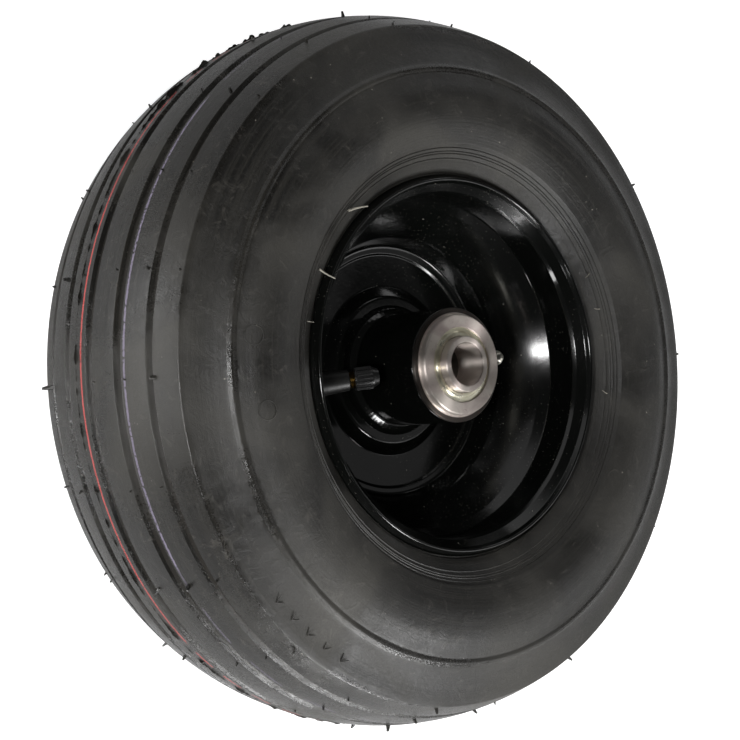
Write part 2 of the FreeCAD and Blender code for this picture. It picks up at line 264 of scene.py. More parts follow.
def bow(centre: Spot, radius: float, first: float, last: float, pieces: int = 8) -> list[Spot]:
    """Give points of an arc, with its angles in degrees."""
    turns = [math.radians(first + (last - first) * k / pieces) for k in range(pieces + 1)]
    return [(centre[0] + radius * math.cos(t), centre[1] + radius * math.sin(t)) for t in turns]


def show(name: str, mesh: bpy.types.Mesh, finish: "Finish", body: Body, slot: str, *nodes: str) -> None:
    """Put a finished mesh in the scene as one piece.

    Args:
        name: The piece's name.
        mesh: Its mesh, in place.
        finish: The finish that it gets.
        body: The body that it moves with.
        slot: The name of a material slot; not used.
        *nodes: The nodes that it stands for.
    """
    mesh.name = name
    piece = bpy.data.objects.new(name, mesh)
    bpy.context.scene.collection.objects.link(piece)
    mesh.materials.clear()
    mesh.materials.append(finish.material())
    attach(piece, body.value)
    if nodes:
        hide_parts(*nodes)
    log.info("%s: %d faces", name, len(mesh.polygons))


@dataclass
class Look:
    """What a finish shows: its colours in layers, its roughness and its fine relief.

    A coat is a mask and the colour that it lays on. A relief is a pattern with its strength and
    its height in millimetres.
    """

    base: str
    coats: list[tuple[Feed, str]]
    roughness: Feed
    relief: list[tuple[Feed, float, float]]
    sockets: dict[str, float | Feed]


@dataclass(frozen=True)
class Finish:
    """A surface finish that builds its material once."""

    title: str

    def material(self) -> bpy.types.Material:
        """Give the finish's material, built at the first call."""
        known = bpy.data.materials.get(self.title)
        if known:
            return known
        made = bpy.data.materials.new(self.title)
        made.use_nodes = True
        tree = made.node_tree
        tree.nodes.clear()
        look = self.look(tree)
        colour = linear(look.base)
        for mask, tint in look.coats:
            mixed = {0: mask, 6: colour, 7: linear(tint)}
            colour = add(tree, "ShaderNodeMix", mixed, data_type="RGBA").outputs[2]
        inputs = {"Base Color": colour, "Roughness": look.roughness, **look.sockets}
        for pattern, strength, height in look.relief:
            bump = {"Height": pattern, "Strength": strength, "Distance": height * MM}
            if "Normal" in inputs:
                bump["Normal"] = inputs["Normal"]
            inputs["Normal"] = add(tree, "ShaderNodeBump", bump)
        add(tree, "ShaderNodeOutputMaterial", [add(tree, "ShaderNodeBsdfPrincipled", inputs)])
        return made

    def look(self, tree: bpy.types.NodeTree) -> Look:
        """Build the finish's patterns in the material's tree."""
        raise NotImplementedError


def spots(tree: bpy.types.NodeTree) -> tuple[Feed, Feed, Feed, Feed, Feed]:
    """Give a point's position, its distance from the axle line, and its X, Y and Z."""
    here = add(tree, "ShaderNodeTexCoord").outputs["Object"]
    flat = add(tree, "ShaderNodeVectorMath", (here, (1.0, 1.0, 0.0)), operation="MULTIPLY")
    radius = add(tree, "ShaderNodeVectorMath", [flat], operation="LENGTH").outputs["Value"]
    return here, radius, *add(tree, "ShaderNodeSeparateXYZ", [here]).outputs


@dataclass(frozen=True)
class PaintedLine:
    """A thin colour line round the tread that marks the tyre's kind at the factory."""

    place: float
    width: float
    colour: str
    dash_count: float
    solid_from: float
    solid_to: float
    wear: float
    faint: float = 1.0
    soft_edge: float = 0.12
    wander: float = 0.14
    wander_size: float = 2.4
    patch_size: float = 1.6

    def cover(self, tree: bpy.types.NodeTree, here: Feed, height: Feed, angle: Feed) -> Feed:
        """Give where the line covers the rubber.

        Args:
            tree: The material's tree.
            here: The point's position.
            height: Its place along the tread's own axle line.
            angle: Its angle round the axle.

        Returns:
            A node that gives one on the line and zero beside it.
        """
        put = partial(add, tree)
        ragged = put("ShaderNodeTexNoise", {
            "Vector": here, "Scale": 1 / (self.wander_size * MM), "Detail": 3.0})
        shift = put("ShaderNodeMapRange", (ragged, 0.3, 0.7, -self.wander * MM, self.wander * MM))
        level = put("ShaderNodeMath", (height, -self.place * MM), operation="ADD")
        wavy = put("ShaderNodeMath", (level, shift), operation="ADD")
        away = put("ShaderNodeMath", [wavy], operation="ABSOLUTE")
        half, soft = self.width / 2 * MM, self.soft_edge * MM
        band = put("ShaderNodeMapRange", (away, half - soft, half + soft, 1.0, 0.0))
        wave = put("ShaderNodeMath", (angle, self.dash_count), operation="MULTIPLY")
        beat = put("ShaderNodeMath", [wave], operation="SINE")
        dashes = put("ShaderNodeMapRange", (beat, -0.5, -0.2, 0.0, self.faint))
        middle = math.radians((self.solid_from + self.solid_to) / 2)
        reach = math.cos(math.radians((self.solid_to - self.solid_from) / 2))
        turned = put("ShaderNodeMath", (angle, middle), operation="SUBTRACT")
        facing = put("ShaderNodeMath", [turned], operation="COSINE")
        solid = put("ShaderNodeMapRange", (facing, reach - 0.01, reach + 0.01))
        kept = put("ShaderNodeMath", (solid, dashes), operation="MAXIMUM")
        patchy = put("ShaderNodeTexNoise", {
            "Vector": here, "Scale": 1 / (self.patch_size * MM), "Detail": 4.0})
        left = put("ShaderNodeMapRange", (patchy, self.wear, self.wear + 0.08))
        line = put("ShaderNodeMath", (band, kept), operation="MULTIPLY")
        return put("ShaderNodeMath", (line, left), operation="MULTIPLY")


@dataclass(frozen=True)
class VulcanisedRubber(Finish):
    """Carbon-black natural rubber cured in a steel mould: a satin black with a waxy bloom.

    The eye gets a deep warm black that turns grey towards the light, hair-fine turning marks
    copied from the mould and drawn coarser than they are, a polished shoulder ridge, and pale
    dust in the grain.
    """

    title: str = "Vulcanised tyre rubber"
    black: str = "#151412"
    bloom: str = "#383631"
    scuff: str = "#4a4742"
    # Groove floor colour: partly silt, partly painted light that brightens the grooves' shade.
    silt: str = "#32302d"
    dust: str = "#8a867c"
    ior: float = 1.52
    roughness: float = 0.5
    ridge_roughness: float = 0.3
    rolled_roughness: float = 0.3
    ridge: tuple[float, ...] = (127.0, 129.0, 132.0, 133.5)
    rolled: tuple[float, float] = (147.0, 150.0)
    painted: tuple[float, float] = (148.0, 149.0)
    mark_spacing: float = 0.45
    mark_run: float = 71.4286
    grain_size: float = 0.9
    scuff_size: float = 7.0
    cloud_size: float = 55.5556
    dust_spacing: float = 4.4
    crown: float = 110.0
    tread_radius: float = 161.2
    silt_depth: tuple[float, float] = (1.1, 2.0)
    silt_reach: tuple[float, float] = (37.5, 38.5)
    lines: tuple[PaintedLine, ...] = (
        PaintedLine(-5.7, 1.1, "#a8413e", 56, 132.0, 222.0, 0.28),
        PaintedLine(22.1, 1.0, "#6c6577", 30, 131.0, 208.0, 0.36, 0.35),
    )

    def look(self, tree: bpy.types.NodeTree) -> Look:
        """Lay bloom, scuffs, silt and painted light in the grooves, dust and the factory lines on the black.
        """
        put = partial(add, tree)
        here, radius, x, y, z = spots(tree)
        angle = put("ShaderNodeMath", (y, x), operation="ARCTAN2")
        lean_x, lean_y = (math.radians(a) for a in TYRE_LEAN)
        drift = put("ShaderNodeVectorMath", (here, (lean_y, -lean_x, 1.0)), operation="DOT_PRODUCT")
        height = put("ShaderNodeMath", (drift.outputs["Value"], TYRE_SHIFT[2] * MM), operation="SUBTRACT")
        across = put("ShaderNodeMath", (z, radius), operation="ADD")
        steps = [
            put("ShaderNodeMath", (way, 1 / (size * MM)), operation="MULTIPLY")
            for way, size in ((x, self.mark_run), (y, self.mark_run), (across, self.mark_spacing))
        ]
        turned = put("ShaderNodeCombineXYZ", steps)
        marks = put("ShaderNodeTexNoise", {"Vector": turned, "Scale": 0.5, "Detail": 5.0})
        grain = put("ShaderNodeTexNoise", {
            "Vector": here, "Scale": 1 / (self.grain_size * MM), "Detail": 6.0})
        cloud = put("ShaderNodeTexNoise", {
            "Vector": here, "Scale": 1 / (self.cloud_size * MM), "Detail": 5.0, "Distortion": 0.6})
        scuffs = put("ShaderNodeTexNoise", {
            "Vector": here, "Scale": 1 / (self.scuff_size * MM), "Detail": 8.0, "Roughness": 0.75,
            "Distortion": 1.2})
        bloom = put("ShaderNodeMapRange", (cloud, 0.42, 0.68, 0.0, 0.7))
        streaky = put("ShaderNodeMapRange", (marks, 0.45, 0.8, 0.0, 0.5))
        pale = put("ShaderNodeMath", (bloom, streaky), operation="MAXIMUM")
        scuffed = put("ShaderNodeMapRange", (scuffs, 0.56, 0.72, 0.0, 0.55))
        specks = put("ShaderNodeTexVoronoi", {"Vector": here, "Scale": 1 / (self.dust_spacing * MM)})
        near = put("ShaderNodeMapRange", (specks, 0.03, 0.1, 0.8, 0.0))
        rare = put("ShaderNodeMapRange", (scuffs, 0.52, 0.6))
        dusty = put("ShaderNodeMath", (near, rare), operation="MULTIPLY")
        # The groove floors' coat is partly silt, partly painted light in the grooves' shade.
        coats = [
            (pale, self.bloom), (scuffed, self.scuff), (self.silted(tree, height, radius), self.silt),
            (dusty, self.dust),
        ]
        on_tread = put("ShaderNodeMapRange", (radius, *(edge * MM for edge in self.painted)))
        for line in self.lines:
            mask = (line.cover(tree, here, height, angle), on_tread)
            coats.append((put("ShaderNodeMath", mask, operation="MULTIPLY"), line.colour))
        ridge = [edge * MM for edge in self.ridge]
        out = put("ShaderNodeMapRange", (radius, *ridge[:2]))
        back = put("ShaderNodeMapRange", (radius, *ridge[2:], 1.0, 0.0))
        polished = put("ShaderNodeMath", (out, back), operation="MULTIPLY")
        gain = self.ridge_roughness - self.roughness
        rolled = (radius, *(edge * MM for edge in self.rolled), self.roughness, self.rolled_roughness)
        rough = put("ShaderNodeMapRange", (grain, 0.3, 0.7, -0.07, 0.1))
        for part in (rolled, (polished, 0.0, 1.0, 0.0, gain), (cloud, 0.4, 0.62, -0.12, 0.12)):
            rough = put("ShaderNodeMath", (rough, put("ShaderNodeMapRange", part)), operation="ADD")
        relief = [(grain, 0.35, 0.06), (marks, 0.7, 0.14), (scuffs, 0.6, 0.5)]
        return Look(self.black, coats, rough, relief, {"IOR": self.ior})

    def silted(self, tree: bpy.types.NodeTree, height: Feed, radius: Feed) -> Feed:
        """Give the groove floors below the tread's crown, which are painted paler: partly silt, partly
        painted light against the grooves' own shade.

        Args:
            tree: The material's tree.
            height: Place along the tread's own axle line.
            radius: Distance from the axle line.

        Returns:
            A node that gives one on the floors.
        """
        put = partial(add, tree)
        crown = self.crown * MM
        square = put("ShaderNodeMath", (height, 2.0), operation="POWER")
        left = put("ShaderNodeMath", (crown ** 2, square), operation="SUBTRACT")
        rise = put("ShaderNodeMath", [left], operation="SQRT")
        top = put("ShaderNodeMath", (rise, self.tread_radius * MM - crown), operation="ADD")
        depth = put("ShaderNodeMath", (top, radius), operation="SUBTRACT")
        deep = put("ShaderNodeMapRange", (depth, *(edge * MM for edge in self.silt_depth)))
        away = put("ShaderNodeMath", [height], operation="ABSOLUTE")
        inside = put("ShaderNodeMapRange", (away, *(edge * MM for edge in self.silt_reach), 1.0, 0.0))
        return put("ShaderNodeMath", (deep, inside), operation="MULTIPLY")


@dataclass(frozen=True)
class PlainRubber(Finish):
    """Compression-moulded rubber for the valve stem: darker and smoother than the tyre.

    The eye gets an even black with a soft, low sheen.
    """

    title: str = "Moulded valve rubber"
    colour: str = "#0b0b0a"
    roughness: float = 0.4
    worn: str = "#1d1c1a"
    ior: float = 1.52
    grain_size: float = 0.5

    def look(self, tree: bpy.types.NodeTree) -> Look:
        """Lay worn patches on a fine grain."""
        here = add(tree, "ShaderNodeTexCoord").outputs["Object"]
        grain = add(tree, "ShaderNodeTexNoise", {
            "Vector": here, "Scale": 1 / (self.grain_size * MM), "Detail": 4.0})
        worn = add(tree, "ShaderNodeMapRange", (grain, 0.5, 0.8, 0.0, 0.5))
        spread = (self.roughness - 0.05, self.roughness + 0.1)
        rough = add(tree, "ShaderNodeMapRange", (grain, 0.3, 0.7, *spread))
        return Look(self.colour, [(worn, self.worn)], rough, [(grain, 0.3, 0.05)], {"IOR": self.ior})


@dataclass(frozen=True)
class StovedEnamel(Finish):
    """Black stoving enamel sprayed on pressed steel: a deep gloss with a faint orange peel.

    The eye gets near-mirror highlights with softly broken edges, a few dust nibs in the film and
    fine dust that has settled on it.
    """

    title: str = "Black stoving enamel"
    colour: str = "#070807"
    dust: str = "#8b887f"
    ior: float = 1.5
    roughness: float = 0.09
    peel_size: float = 3.2
    nib_spacing: float = 7.0
    dust_spacing: float = 1.6
    haze_size: float = 45.4545

    def look(self, tree: bpy.types.NodeTree) -> Look:
        """Lay dust on the black, over orange peel and a slight haze."""
        put = partial(add, tree)
        here = put("ShaderNodeTexCoord").outputs["Object"]
        peel = put("ShaderNodeTexNoise", {
            "Vector": here, "Scale": 1 / (self.peel_size * MM), "Detail": 2.0})
        haze = put("ShaderNodeTexNoise", {
            "Vector": here, "Scale": 1 / (self.haze_size * MM), "Detail": 4.0})
        nibs = put("ShaderNodeTexVoronoi", {"Vector": here, "Scale": 1 / (self.nib_spacing * MM)})
        nib = put("ShaderNodeMapRange", (nibs, 0.02, 0.045, 1.0, 0.0))
        motes = put("ShaderNodeTexVoronoi", {"Vector": here, "Scale": 1 / (self.dust_spacing * MM)})
        mote = put("ShaderNodeMapRange", (motes, 0.06, 0.14, 1.0, 0.0))
        settled = put("ShaderNodeMapRange", (haze, 0.42, 0.6, 0.03, 0.4))
        dust = put("ShaderNodeMath", (mote, settled), operation="MULTIPLY")
        dust = put("ShaderNodeMath", (dust, nib), operation="MAXIMUM")
        rough = put("ShaderNodeMapRange", (haze, 0.4, 0.75, self.roughness, self.roughness + 0.12))
        relief = [(peel, 0.5, 0.045), (nib, 0.5, 0.1)]
        return Look(self.colour, [(dust, self.dust)], rough, relief, {"IOR": self.ior})


@dataclass(frozen=True)
class TurnedMetal(Finish):
    """A turned, ground, drawn or plated metal with marks that run round the axle.

    The eye gets highlights drawn out across the marks, a patchy film and the first rust. The
    marks are drawn coarser than the real ones, so that they show.
    """

    title: str = "Ground bearing steel"
    colour: str = "#d0c8c0"
    stain: str = "#b8aba7"
    roughness: float = 0.46
    mark_spacing: float = 0.35
    mark_depth: float = 0.02
    rust: float = 0.0
    # From this radius out the steel gets painted shade, standing in for a dark reflection.
    dark_from: float = 99.0
    dark: str = "#45413e"
    rusty: str = "#6b3f22"
    turning: float = 0.85
    film_size: float = 11.1111
    rust_size: float = 1.5

    def look(self, tree: bpy.types.NodeTree) -> Look:
        """Lay the film, the painted shade on the outer edge and the rust on the metal, over its marks."""
        put = partial(add, tree)
        here, radius, _, _, z = spots(tree)
        across = put("ShaderNodeMath", (radius, z), operation="ADD")
        spread = put("ShaderNodeMath", (across, 1 / (self.mark_spacing * MM)), operation="MULTIPLY")
        ringed = put("ShaderNodeTexNoise", {"W": spread, "Scale": 1.0, "Detail": 3.0}, noise_dimensions="1D")
        film = put("ShaderNodeTexNoise", {
            "Vector": here, "Scale": 1 / (self.film_size * MM), "Detail": 5.0, "Distortion": 0.8})
        patchy = put("ShaderNodeMapRange", (film, 0.4, 0.7))
        # Painted shade beyond the given radius, in place of a dark reflection.
        outer = put("ShaderNodeMapRange", (radius, (self.dark_from - 0.1) * MM, (self.dark_from + 0.1) * MM))
        specks = put("ShaderNodeTexNoise", {
            "Vector": here, "Scale": 1 / (self.rust_size * MM), "Detail": 4.0})
        rusty = put("ShaderNodeMapRange", (specks, 0.66, 0.7, 0.0, self.rust))
        rough = put("ShaderNodeMapRange", (film, 0.35, 0.7, self.roughness - 0.06, self.roughness + 0.1))
        coats = [(patchy, self.stain), (outer, self.dark), (rusty, self.rusty)]
        return Look(self.colour, coats, rough, [(ringed, 0.6, self.mark_depth)], {
            "Metallic": 1.0, "Anisotropic": self.turning, "Anisotropic Rotation": 0.25,
            "Tangent": put("ShaderNodeTangent", direction_type="RADIAL", axis="Z"),
        })


@dataclass(frozen=True)
class MouldedNylon(Finish):
    """Injection-moulded black nylon with a spark-eroded grain.

    The eye gets a soft sheen that breaks up at close range.
    """

    title: str = "Moulded black nylon"
    colour: str = "#101010"
    ior: float = 1.53
    roughness: float = 0.28
    grain_size: float = 0.3

    def look(self, tree: bpy.types.NodeTree) -> Look:
        """Build the mould's grain."""
        here = add(tree, "ShaderNodeTexCoord").outputs["Object"]
        grain = add(tree, "ShaderNodeTexNoise", {
            "Vector": here, "Scale": 1 / (self.grain_size * MM), "Detail": 3.0})
        spread = (self.roughness - 0.05, self.roughness + 0.08)
        rough = add(tree, "ShaderNodeMapRange", (grain, 0.3, 0.7, *spread))
        return Look(self.colour, [], rough, [(grain, 0.3, 0.03)], {"IOR": self.ior})


TYRE_RUBBER = VulcanisedRubber()
VALVE_RUBBER = PlainRubber()
# Rubber pulled thin through the mould's vents: pale and matt, so it shows against the rim.
STRAND_RUBBER = PlainRubber("Stretched vent rubber", "#8b877c", 0.5)
ENAMEL = StovedEnamel()
# Bearing steel ground bright, with the first rust specks.
RACE_STEEL = TurnedMetal(rust=0.25)
# The same steel, with painted shade on the flange's rim that stands in for a dark reflection.
RING_STEEL = TurnedMetal("Flanged ring steel", rust=0.25, dark_from=23.2)
# Yellow-green passivated zinc on pressed sheet: brighter rings than the ground steel.
SHIELD_ZINC = TurnedMetal("Plated shield steel", "#eae6d2", "#c2bea4", 0.3, 0.9, 0.08)
# Clear zinc plate on turned steel: small bright glints.
FITTING_ZINC = TurnedMetal("Zinc plated fitting", "#d2cfc4", "#aaa79c", 0.28, 0.4, 0.02)
# Brass that has gone brown: a dull gold ring under the cap.
BRASS = TurnedMetal("Tarnished brass", "#7c6538", "#54431f", 0.32, 0.5, 0.04)
# Lapped balls: near mirrors.
BALL_STEEL = TurnedMetal("Lapped ball steel", "#b9b8b6", "#a5a4a2", 0.12, 1.0, 0.002)
# Pressed strip for the cages: grey and satin.
CAGE_STEEL = TurnedMetal("Pressed cage steel", "#8f8d89", "#77756f", 0.35, 0.6, 0.01)
# Drawn tube, dull and grey, seen down the bore.
SLEEVE_STEEL = TurnedMetal("Drawn sleeve steel", "#8e8a84", "#6a6660", 0.42, 0.5, 0.03, 0.4)
NYLON = MouldedNylon()


@dataclass
class Rim:
    """The two pressings, back to back at the disc, with the hub tube welded in."""

    sheet: float = 2.0
    tube_radius: float = 25.4
    tube_half: float = 47.2
    tube_gap: float = 0.02
    bearing_seat: float = 22.245
    boss_height: float = 6.6
    boss_radius: float = 33.5
    boss_bend: float = 2.6
    step_radius: float = 38.6
    step_bend: float = 1.6
    well_radius: float = 56.0
    bead: tuple[Corner, ...] = ((52.8, 2.0, 0.8), (53.8, 2.9, 0.8), (57.0, 3.1, 2.2))
    swell: Corner = (60.3, 12.2, 9.0)
    ledge: Corner = (72.0, 28.5, 8.0)
    seat_start: Corner = (75.6, 32.8, 2.5)
    seat_end: Corner = (75.9, 46.2, 1.2)
    brow: Corner = (77.0, 47.9, 1.0)
    crease: Corner = (80.2, 51.1, 1.0)
    lip: Corner = (81.9, 54.5, 1.3)
    lip_end: Corner = (84.4, 49.1, 0.0)
    cut_edge: float = 0.4
    weld_leg: float = 4.2
    weld_foot: float = 0.4
    weld_ripple: float = 0.05
    weld_beads: int = 74
    segments: int = 320
    tube_segments: int = 256
    weld_segments: int = 444

    def path(self) -> list[Corner]:
        """Give the pressing's open face, from the hub out to the rolled lip."""
        return [
            (self.tube_radius + self.tube_gap, self.boss_height, 0),
            (self.boss_radius, self.boss_height, self.boss_bend),
            (self.step_radius, self.sheet, self.step_bend),
            *self.bead, self.swell, self.ledge, self.seat_start, self.seat_end,
            self.brow, self.crease, self.lip, self.lip_end,
        ]

    def half(self) -> list[Spot]:
        """Give the front pressing's outline with its cut edge slightly broken."""
        face = self.path()
        corners = face + offset(face, -self.sheet)[::-1]
        for edge in (len(face) - 1, len(face)):
            corners[edge] = (*corners[edge][:2], self.cut_edge)
        return rounded(corners, step=4.0)

    def tube(self) -> list[Spot]:
        """Give the hub tube's outline."""
        inner, outer, end = self.bearing_seat, self.tube_radius, self.tube_half
        return rounded([(inner, -end, 0.3), (outer, -end, 0.4), (outer, end, 0.4), (inner, end, 0.3)])

    def weld(self) -> list[Spot]:
        """Give the fillet weld's outline."""
        foot, low, leg, sunk = self.tube_radius, self.boss_height, self.weld_leg, self.weld_foot
        crown, edge = leg * 0.62, 0.3
        return rounded([
            (foot - sunk, low - sunk, 0), (foot + leg, low - sunk, 0), (foot + leg, low + edge, edge),
            (foot + crown, low + crown, leg * 0.5), (foot + edge, low + leg, edge),
            (foot - sunk, low + leg, 0),
        ])

    def weld_scale(self, radius: float, place: float, angle: float) -> float:
        """Ripple the weld's face as a torch leaves it."""
        ripple = self.weld_ripple * math.sin(angle * self.weld_beads + 2.0 * math.sin(angle * 5))
        return radius + (ripple if radius > self.tube_radius + 0.5 else 0.0)

    def dress(self) -> None:
        """Make the rim's pieces."""
        for side in Side:
            mesh = lathe(mirror(self.half(), side), self.segments)
            show(f"pressing_{side.word}", mesh, ENAMEL, Body.WHEEL, "rim_paint", f"rim_half_{side.word}")
            mesh = lathe(mirror(self.weld(), side), self.weld_segments, self.weld_scale)
            show(f"weld_{side.word}", mesh, ENAMEL, Body.WHEEL, "rim_paint", f"hub_weld_{side.word}")
        mesh = lathe(self.tube(), self.tube_segments)
        show("tube", mesh, ENAMEL, Body.WHEEL, "rim_paint", "hub_tube")


@dataclass
class Tyre:
    """The hollow ribbed tyre with its vent hairs and flash."""

    radius: float = 161.2
    crown: float = 110.0
    tread_half: float = 47.4
    section_half: float = 61.75
    shoulder_bend: float = 1.2
    shoulder_rib: Spot = (130.8, 55.9)
    shoulder_hollow: float = 1.3
    wall_sheet: float = 5.0
    tread_sheet: float = 10.0
    widest: float = 113.0
    grooves: tuple[tuple[float, float, float], ...] = (
        (34.7, 3.4, 2.6), (18.2, 4.6, 3.0), (0.0, 4.8, 3.0), (-18.2, 4.6, 3.0), (-34.7, 3.4, 2.6),
    )
    groove_taper: float = 1.1
    groove_edge: float = 0.35
    bead_ring: Spot = (96.0, 56.2)
    band_rise: float = 0.6
    line_places: tuple[float, ...] = (95.2, 93.7, 92.7, 90.8)
    line_height: float = 0.45
    bead_width: float = 12.5
    segments: int = 360
    hair_length: Spot = (1.2, 1.7)
    hair_width: float = 1.5
    row_count: int = 22
    row_start: float = 162.1
    hair_places: tuple[tuple[float, ...], ...] = (
        (-58.0, -50.0, -42.4, -24.0, -8.7, 14.5, 31.4, 45.6), (-54.0, -46.0, -35.9, 4.0, 22.3, 37.2),
    )
    flash_place: float = -9.7
    flash_steps: int = 1500
    torn_at: float = 112.0
    tick_count: int = 5
    tick_start: float = 219.0
    tick_step: float = 4.25
    tick_root: Corner = (144.2, 0.0, 49.4)
    tick_length: float = 3.6
    tick_width: float = 0.34
    strand_places: tuple[tuple[float, float, float, float, float], ...] = (
        (131.5, 91.5, 54.4, -1.9, 10.0), (150.5, 90.0, 53.4, 0.1, 8.0), (165.2, 90.0, 53.4, 0.0, 3.2),
        (24.0, 92.0, 54.2, -0.2, 4.0), (13.0, 91.5, 54.0, 0.2, 4.4), (348.0, 91.5, 54.0, 0.1, 4.0),
    )
    strand_width: float = 0.22
    pad_places: tuple[tuple[float, float, float, float], ...] = (
        (171.2, 122.1, 59.7, 23.0), (185.8, 118.3, 60.95, 13.6),
    )
    pad_radius: float = 4.0
    pad_rise: float = 0.28
    pad_segments: int = 48
    true_radius: float = 132.0
    loose_radius: float = 146.0

    def surface(self, place: float) -> float:
        """Give the tread's radius at a place along the axle."""
        return self.radius - self.crown + math.sqrt(self.crown ** 2 - place ** 2)

    def tread(self) -> list[Corner]:
        """Give the tread's corners from the front shoulder to the back one, grooves included."""
        corners: list[Corner] = [(self.surface(self.tread_half), self.tread_half, self.shoulder_bend)]
        edge = self.tread_half
        stops = [*self.grooves, (-self.tread_half, 0.0, 0.0)]
        for place, width, depth in stops:
            near = place + width / 2
            steps = max(2, round((edge - near) / 3.5))
            for k in range(1, steps):
                z = edge + (near - edge) * k / steps
                corners.append((self.surface(z), z, 0))
            if width:
                foot = width / 2 - self.groove_taper
                floor = self.surface(place) - depth
                corners += [
                    (self.surface(near), near, self.groove_edge), (floor, place + foot, 0.5),
                    (floor, place - foot, 0.5),
                    (self.surface(place - width / 2), place - width / 2, self.groove_edge),
                ]
            edge = place - width / 2
        corners.append((self.surface(self.tread_half), -self.tread_half, self.shoulder_bend))
        return corners

    def wall(self, rim: Rim) -> list[Corner]:
        """Give the front sidewall and bead, from the shoulder to the toe and into the chamber."""
        flange, brow, crease, lip, end = offset(rim.path(), -(rim.sheet + 0.1))[-5:]
        toe = rim.seat_end[1] - self.bead_width
        top = self.surface(self.tread_half)
        rib, rib_place = self.shoulder_rib
        ring, ring_place = self.bead_ring
        foot = rim.lip_end[0] + 0.9
        return [
            ((top + rib) / 2 - self.shoulder_hollow * 0.4,
             (self.tread_half + rib_place) / 2 - self.shoulder_hollow, 30.0),
            (rib + 1.6, rib_place - 0.8, 1.0), (rib, rib_place + 1.0, 1.8), (rib - 2.2, rib_place + 0.5, 1.2),
            (self.widest + 6.0, self.section_half, 22.0), (self.widest - 6.0, self.section_half, 16.0),
            (ring + 1.0, ring_place + 1.6, 1.0), (ring, ring_place, 0.4),
            *self.ring_lines(),
            (foot, self.band_place(foot), 0.8), (rim.lip_end[0] + 0.5, rim.lip_end[1] - 0.9, 0.3),
            (end[0], end[1], 0), lip, crease, brow, flange,
            (flange[0] - 0.2, toe, 1.2),
            (rim.lip[0] + 1.0, toe + 1.0, 5.0), (ring + 4.0, ring_place - 12.0, 8.0),
            (self.widest - 4.0, self.section_half - self.wall_sheet, 14.0),
            (self.widest + 8.0, self.section_half - self.wall_sheet, 20.0),
            (top - self.tread_sheet, self.tread_half - 9.0, 16.0),
        ]

    def band_place(self, radius: float) -> float:
        """Give the place of the sloping band that dips from the sidewall to the rim."""
        return self.bead_ring[1] + (radius - self.bead_ring[0]) * self.band_rise

    def ring_lines(self) -> list[Corner]:
        """Give the fine ridges round the band, from the outermost inwards."""
        half = 0.42
        return [
            (radius + reach, self.band_place(radius + reach) + rise, 0)
            for radius in self.line_places
            for reach, rise in ((half, 0.0), (0.0, self.line_height), (-half, 0.0))
        ]

    def settle(self, mesh: bpy.types.Mesh) -> bpy.types.Mesh:
        """Let the tread run out of true by a little, as a hand-fitted tyre does."""
        lean_x, lean_y = (math.radians(a) for a in TYRE_LEAN)
        push = Vector(TYRE_SHIFT) * MM
        for vertex in mesh.vertices:
            x, y, z = vertex.co
            share = (math.hypot(x, y) / MM - self.true_radius) / (self.loose_radius - self.true_radius)
            share = max(0.0, min(1.0, share))
            drift = Vector((lean_y * z, -lean_x * z, lean_x * y - lean_y * x)) + push
            vertex.co = vertex.co + drift * share
        return mesh

    def outline(self, rim: Rim) -> list[Spot]:
        """Give the tyre's whole section."""
        wall = self.wall(rim)
        other = [(radius, -place, bend) for radius, place, bend in wall]
        ceiling = [(self.surface(z) - self.tread_sheet, z, 0) for z in (-26.0, -13.0, 0.0, 13.0, 26.0)]
        return rounded(self.tread() + other + ceiling + wall[::-1], step=14.0)

    def flash(self) -> bpy.types.Mesh:
        """Make the ragged fin that the mould's joint leaves round the tread."""
        count = self.flash_steps
        points = []
        base = self.surface(self.flash_place) - 0.3
        for k in range(count):
            angle = 2 * math.pi * k / count
            ragged = noise.fractal(Vector((math.cos(angle) * 26, math.sin(angle) * 26, 3.0)), 1.0, 2.0, 4)
            torn = 1.0 + 1.6 * max(0.0, math.cos(angle - math.radians(self.torn_at))) ** 12
            height = 0.3 + max(0.02, min(2.2, (0.3 + ragged * 1.3) * torn))
            thick = 0.16 + 0.3 * max(0.0, ragged)
            lean = 0.4 * ragged
            tip = thick * 0.6
            for reach, shift in ((0, -thick), (height, lean - tip), (height, lean + tip), (0, thick)):
                spot = Vector((base + reach, 0, self.flash_place + shift)) * MM
                points.append(Matrix.Rotation(angle, 3, "Z") @ spot)
        faces = []
        for k in range(count):
            here, ahead = 4 * k, 4 * ((k + 1) % count)
            for i in range(4):
                faces.append((here + i, here + (i + 1) % 4, ahead + (i + 1) % 4, ahead + i))
        return finished(points, faces)

    def hair_roots(self) -> tuple[list[Vector], list[Vector], list[float]]:
        """Place the vent hairs in rows across the tread and shoulders.

        Returns:
            The roots in metres, the way out of the rubber at each, and each length in metres.
        """
        roots, ways, lengths = [], [], []
        edge, (rib, rib_place) = self.surface(self.tread_half), self.shoulder_rib
        for row in range(self.row_count):
            spin = turn("Z", self.row_start + 360 / self.row_count * row, 3)
            for place in self.hair_places[row % 2]:
                if abs(place) <= self.tread_half:
                    root = Vector((self.surface(place) - 0.1, 0, place))
                    way = Vector((math.sqrt(self.crown ** 2 - place ** 2), 0, place)).normalized()
                else:
                    share = min((abs(place) - self.tread_half) / (rib_place - self.tread_half), 0.97)
                    side = math.copysign(1.0, place)
                    along = self.tread_half + (rib_place - self.tread_half) * share - 0.6
                    root = Vector((edge - (edge - rib) * share - 0.5, 0, side * along))
                    way = Vector((0.45, 0, side * 0.9)).normalized()
                roots.append(spin @ root * MM)
                ways.append(spin @ way)
                odd = noise.cell(Vector((row * 1.7, place, 0.5)))
                lengths.append((self.hair_length[0] + self.hair_length[1] * odd * odd) * MM)
        return roots, ways, lengths

    def hairs(self) -> bpy.types.Mesh:
        """Make all the vent hairs as one mesh."""
        roots, ways, lengths = self.hair_roots()
        return scatter(seedbed(roots, ways, lengths), spike(self.hair_width), TYRE_RUBBER, lean=24.0, seed=11)

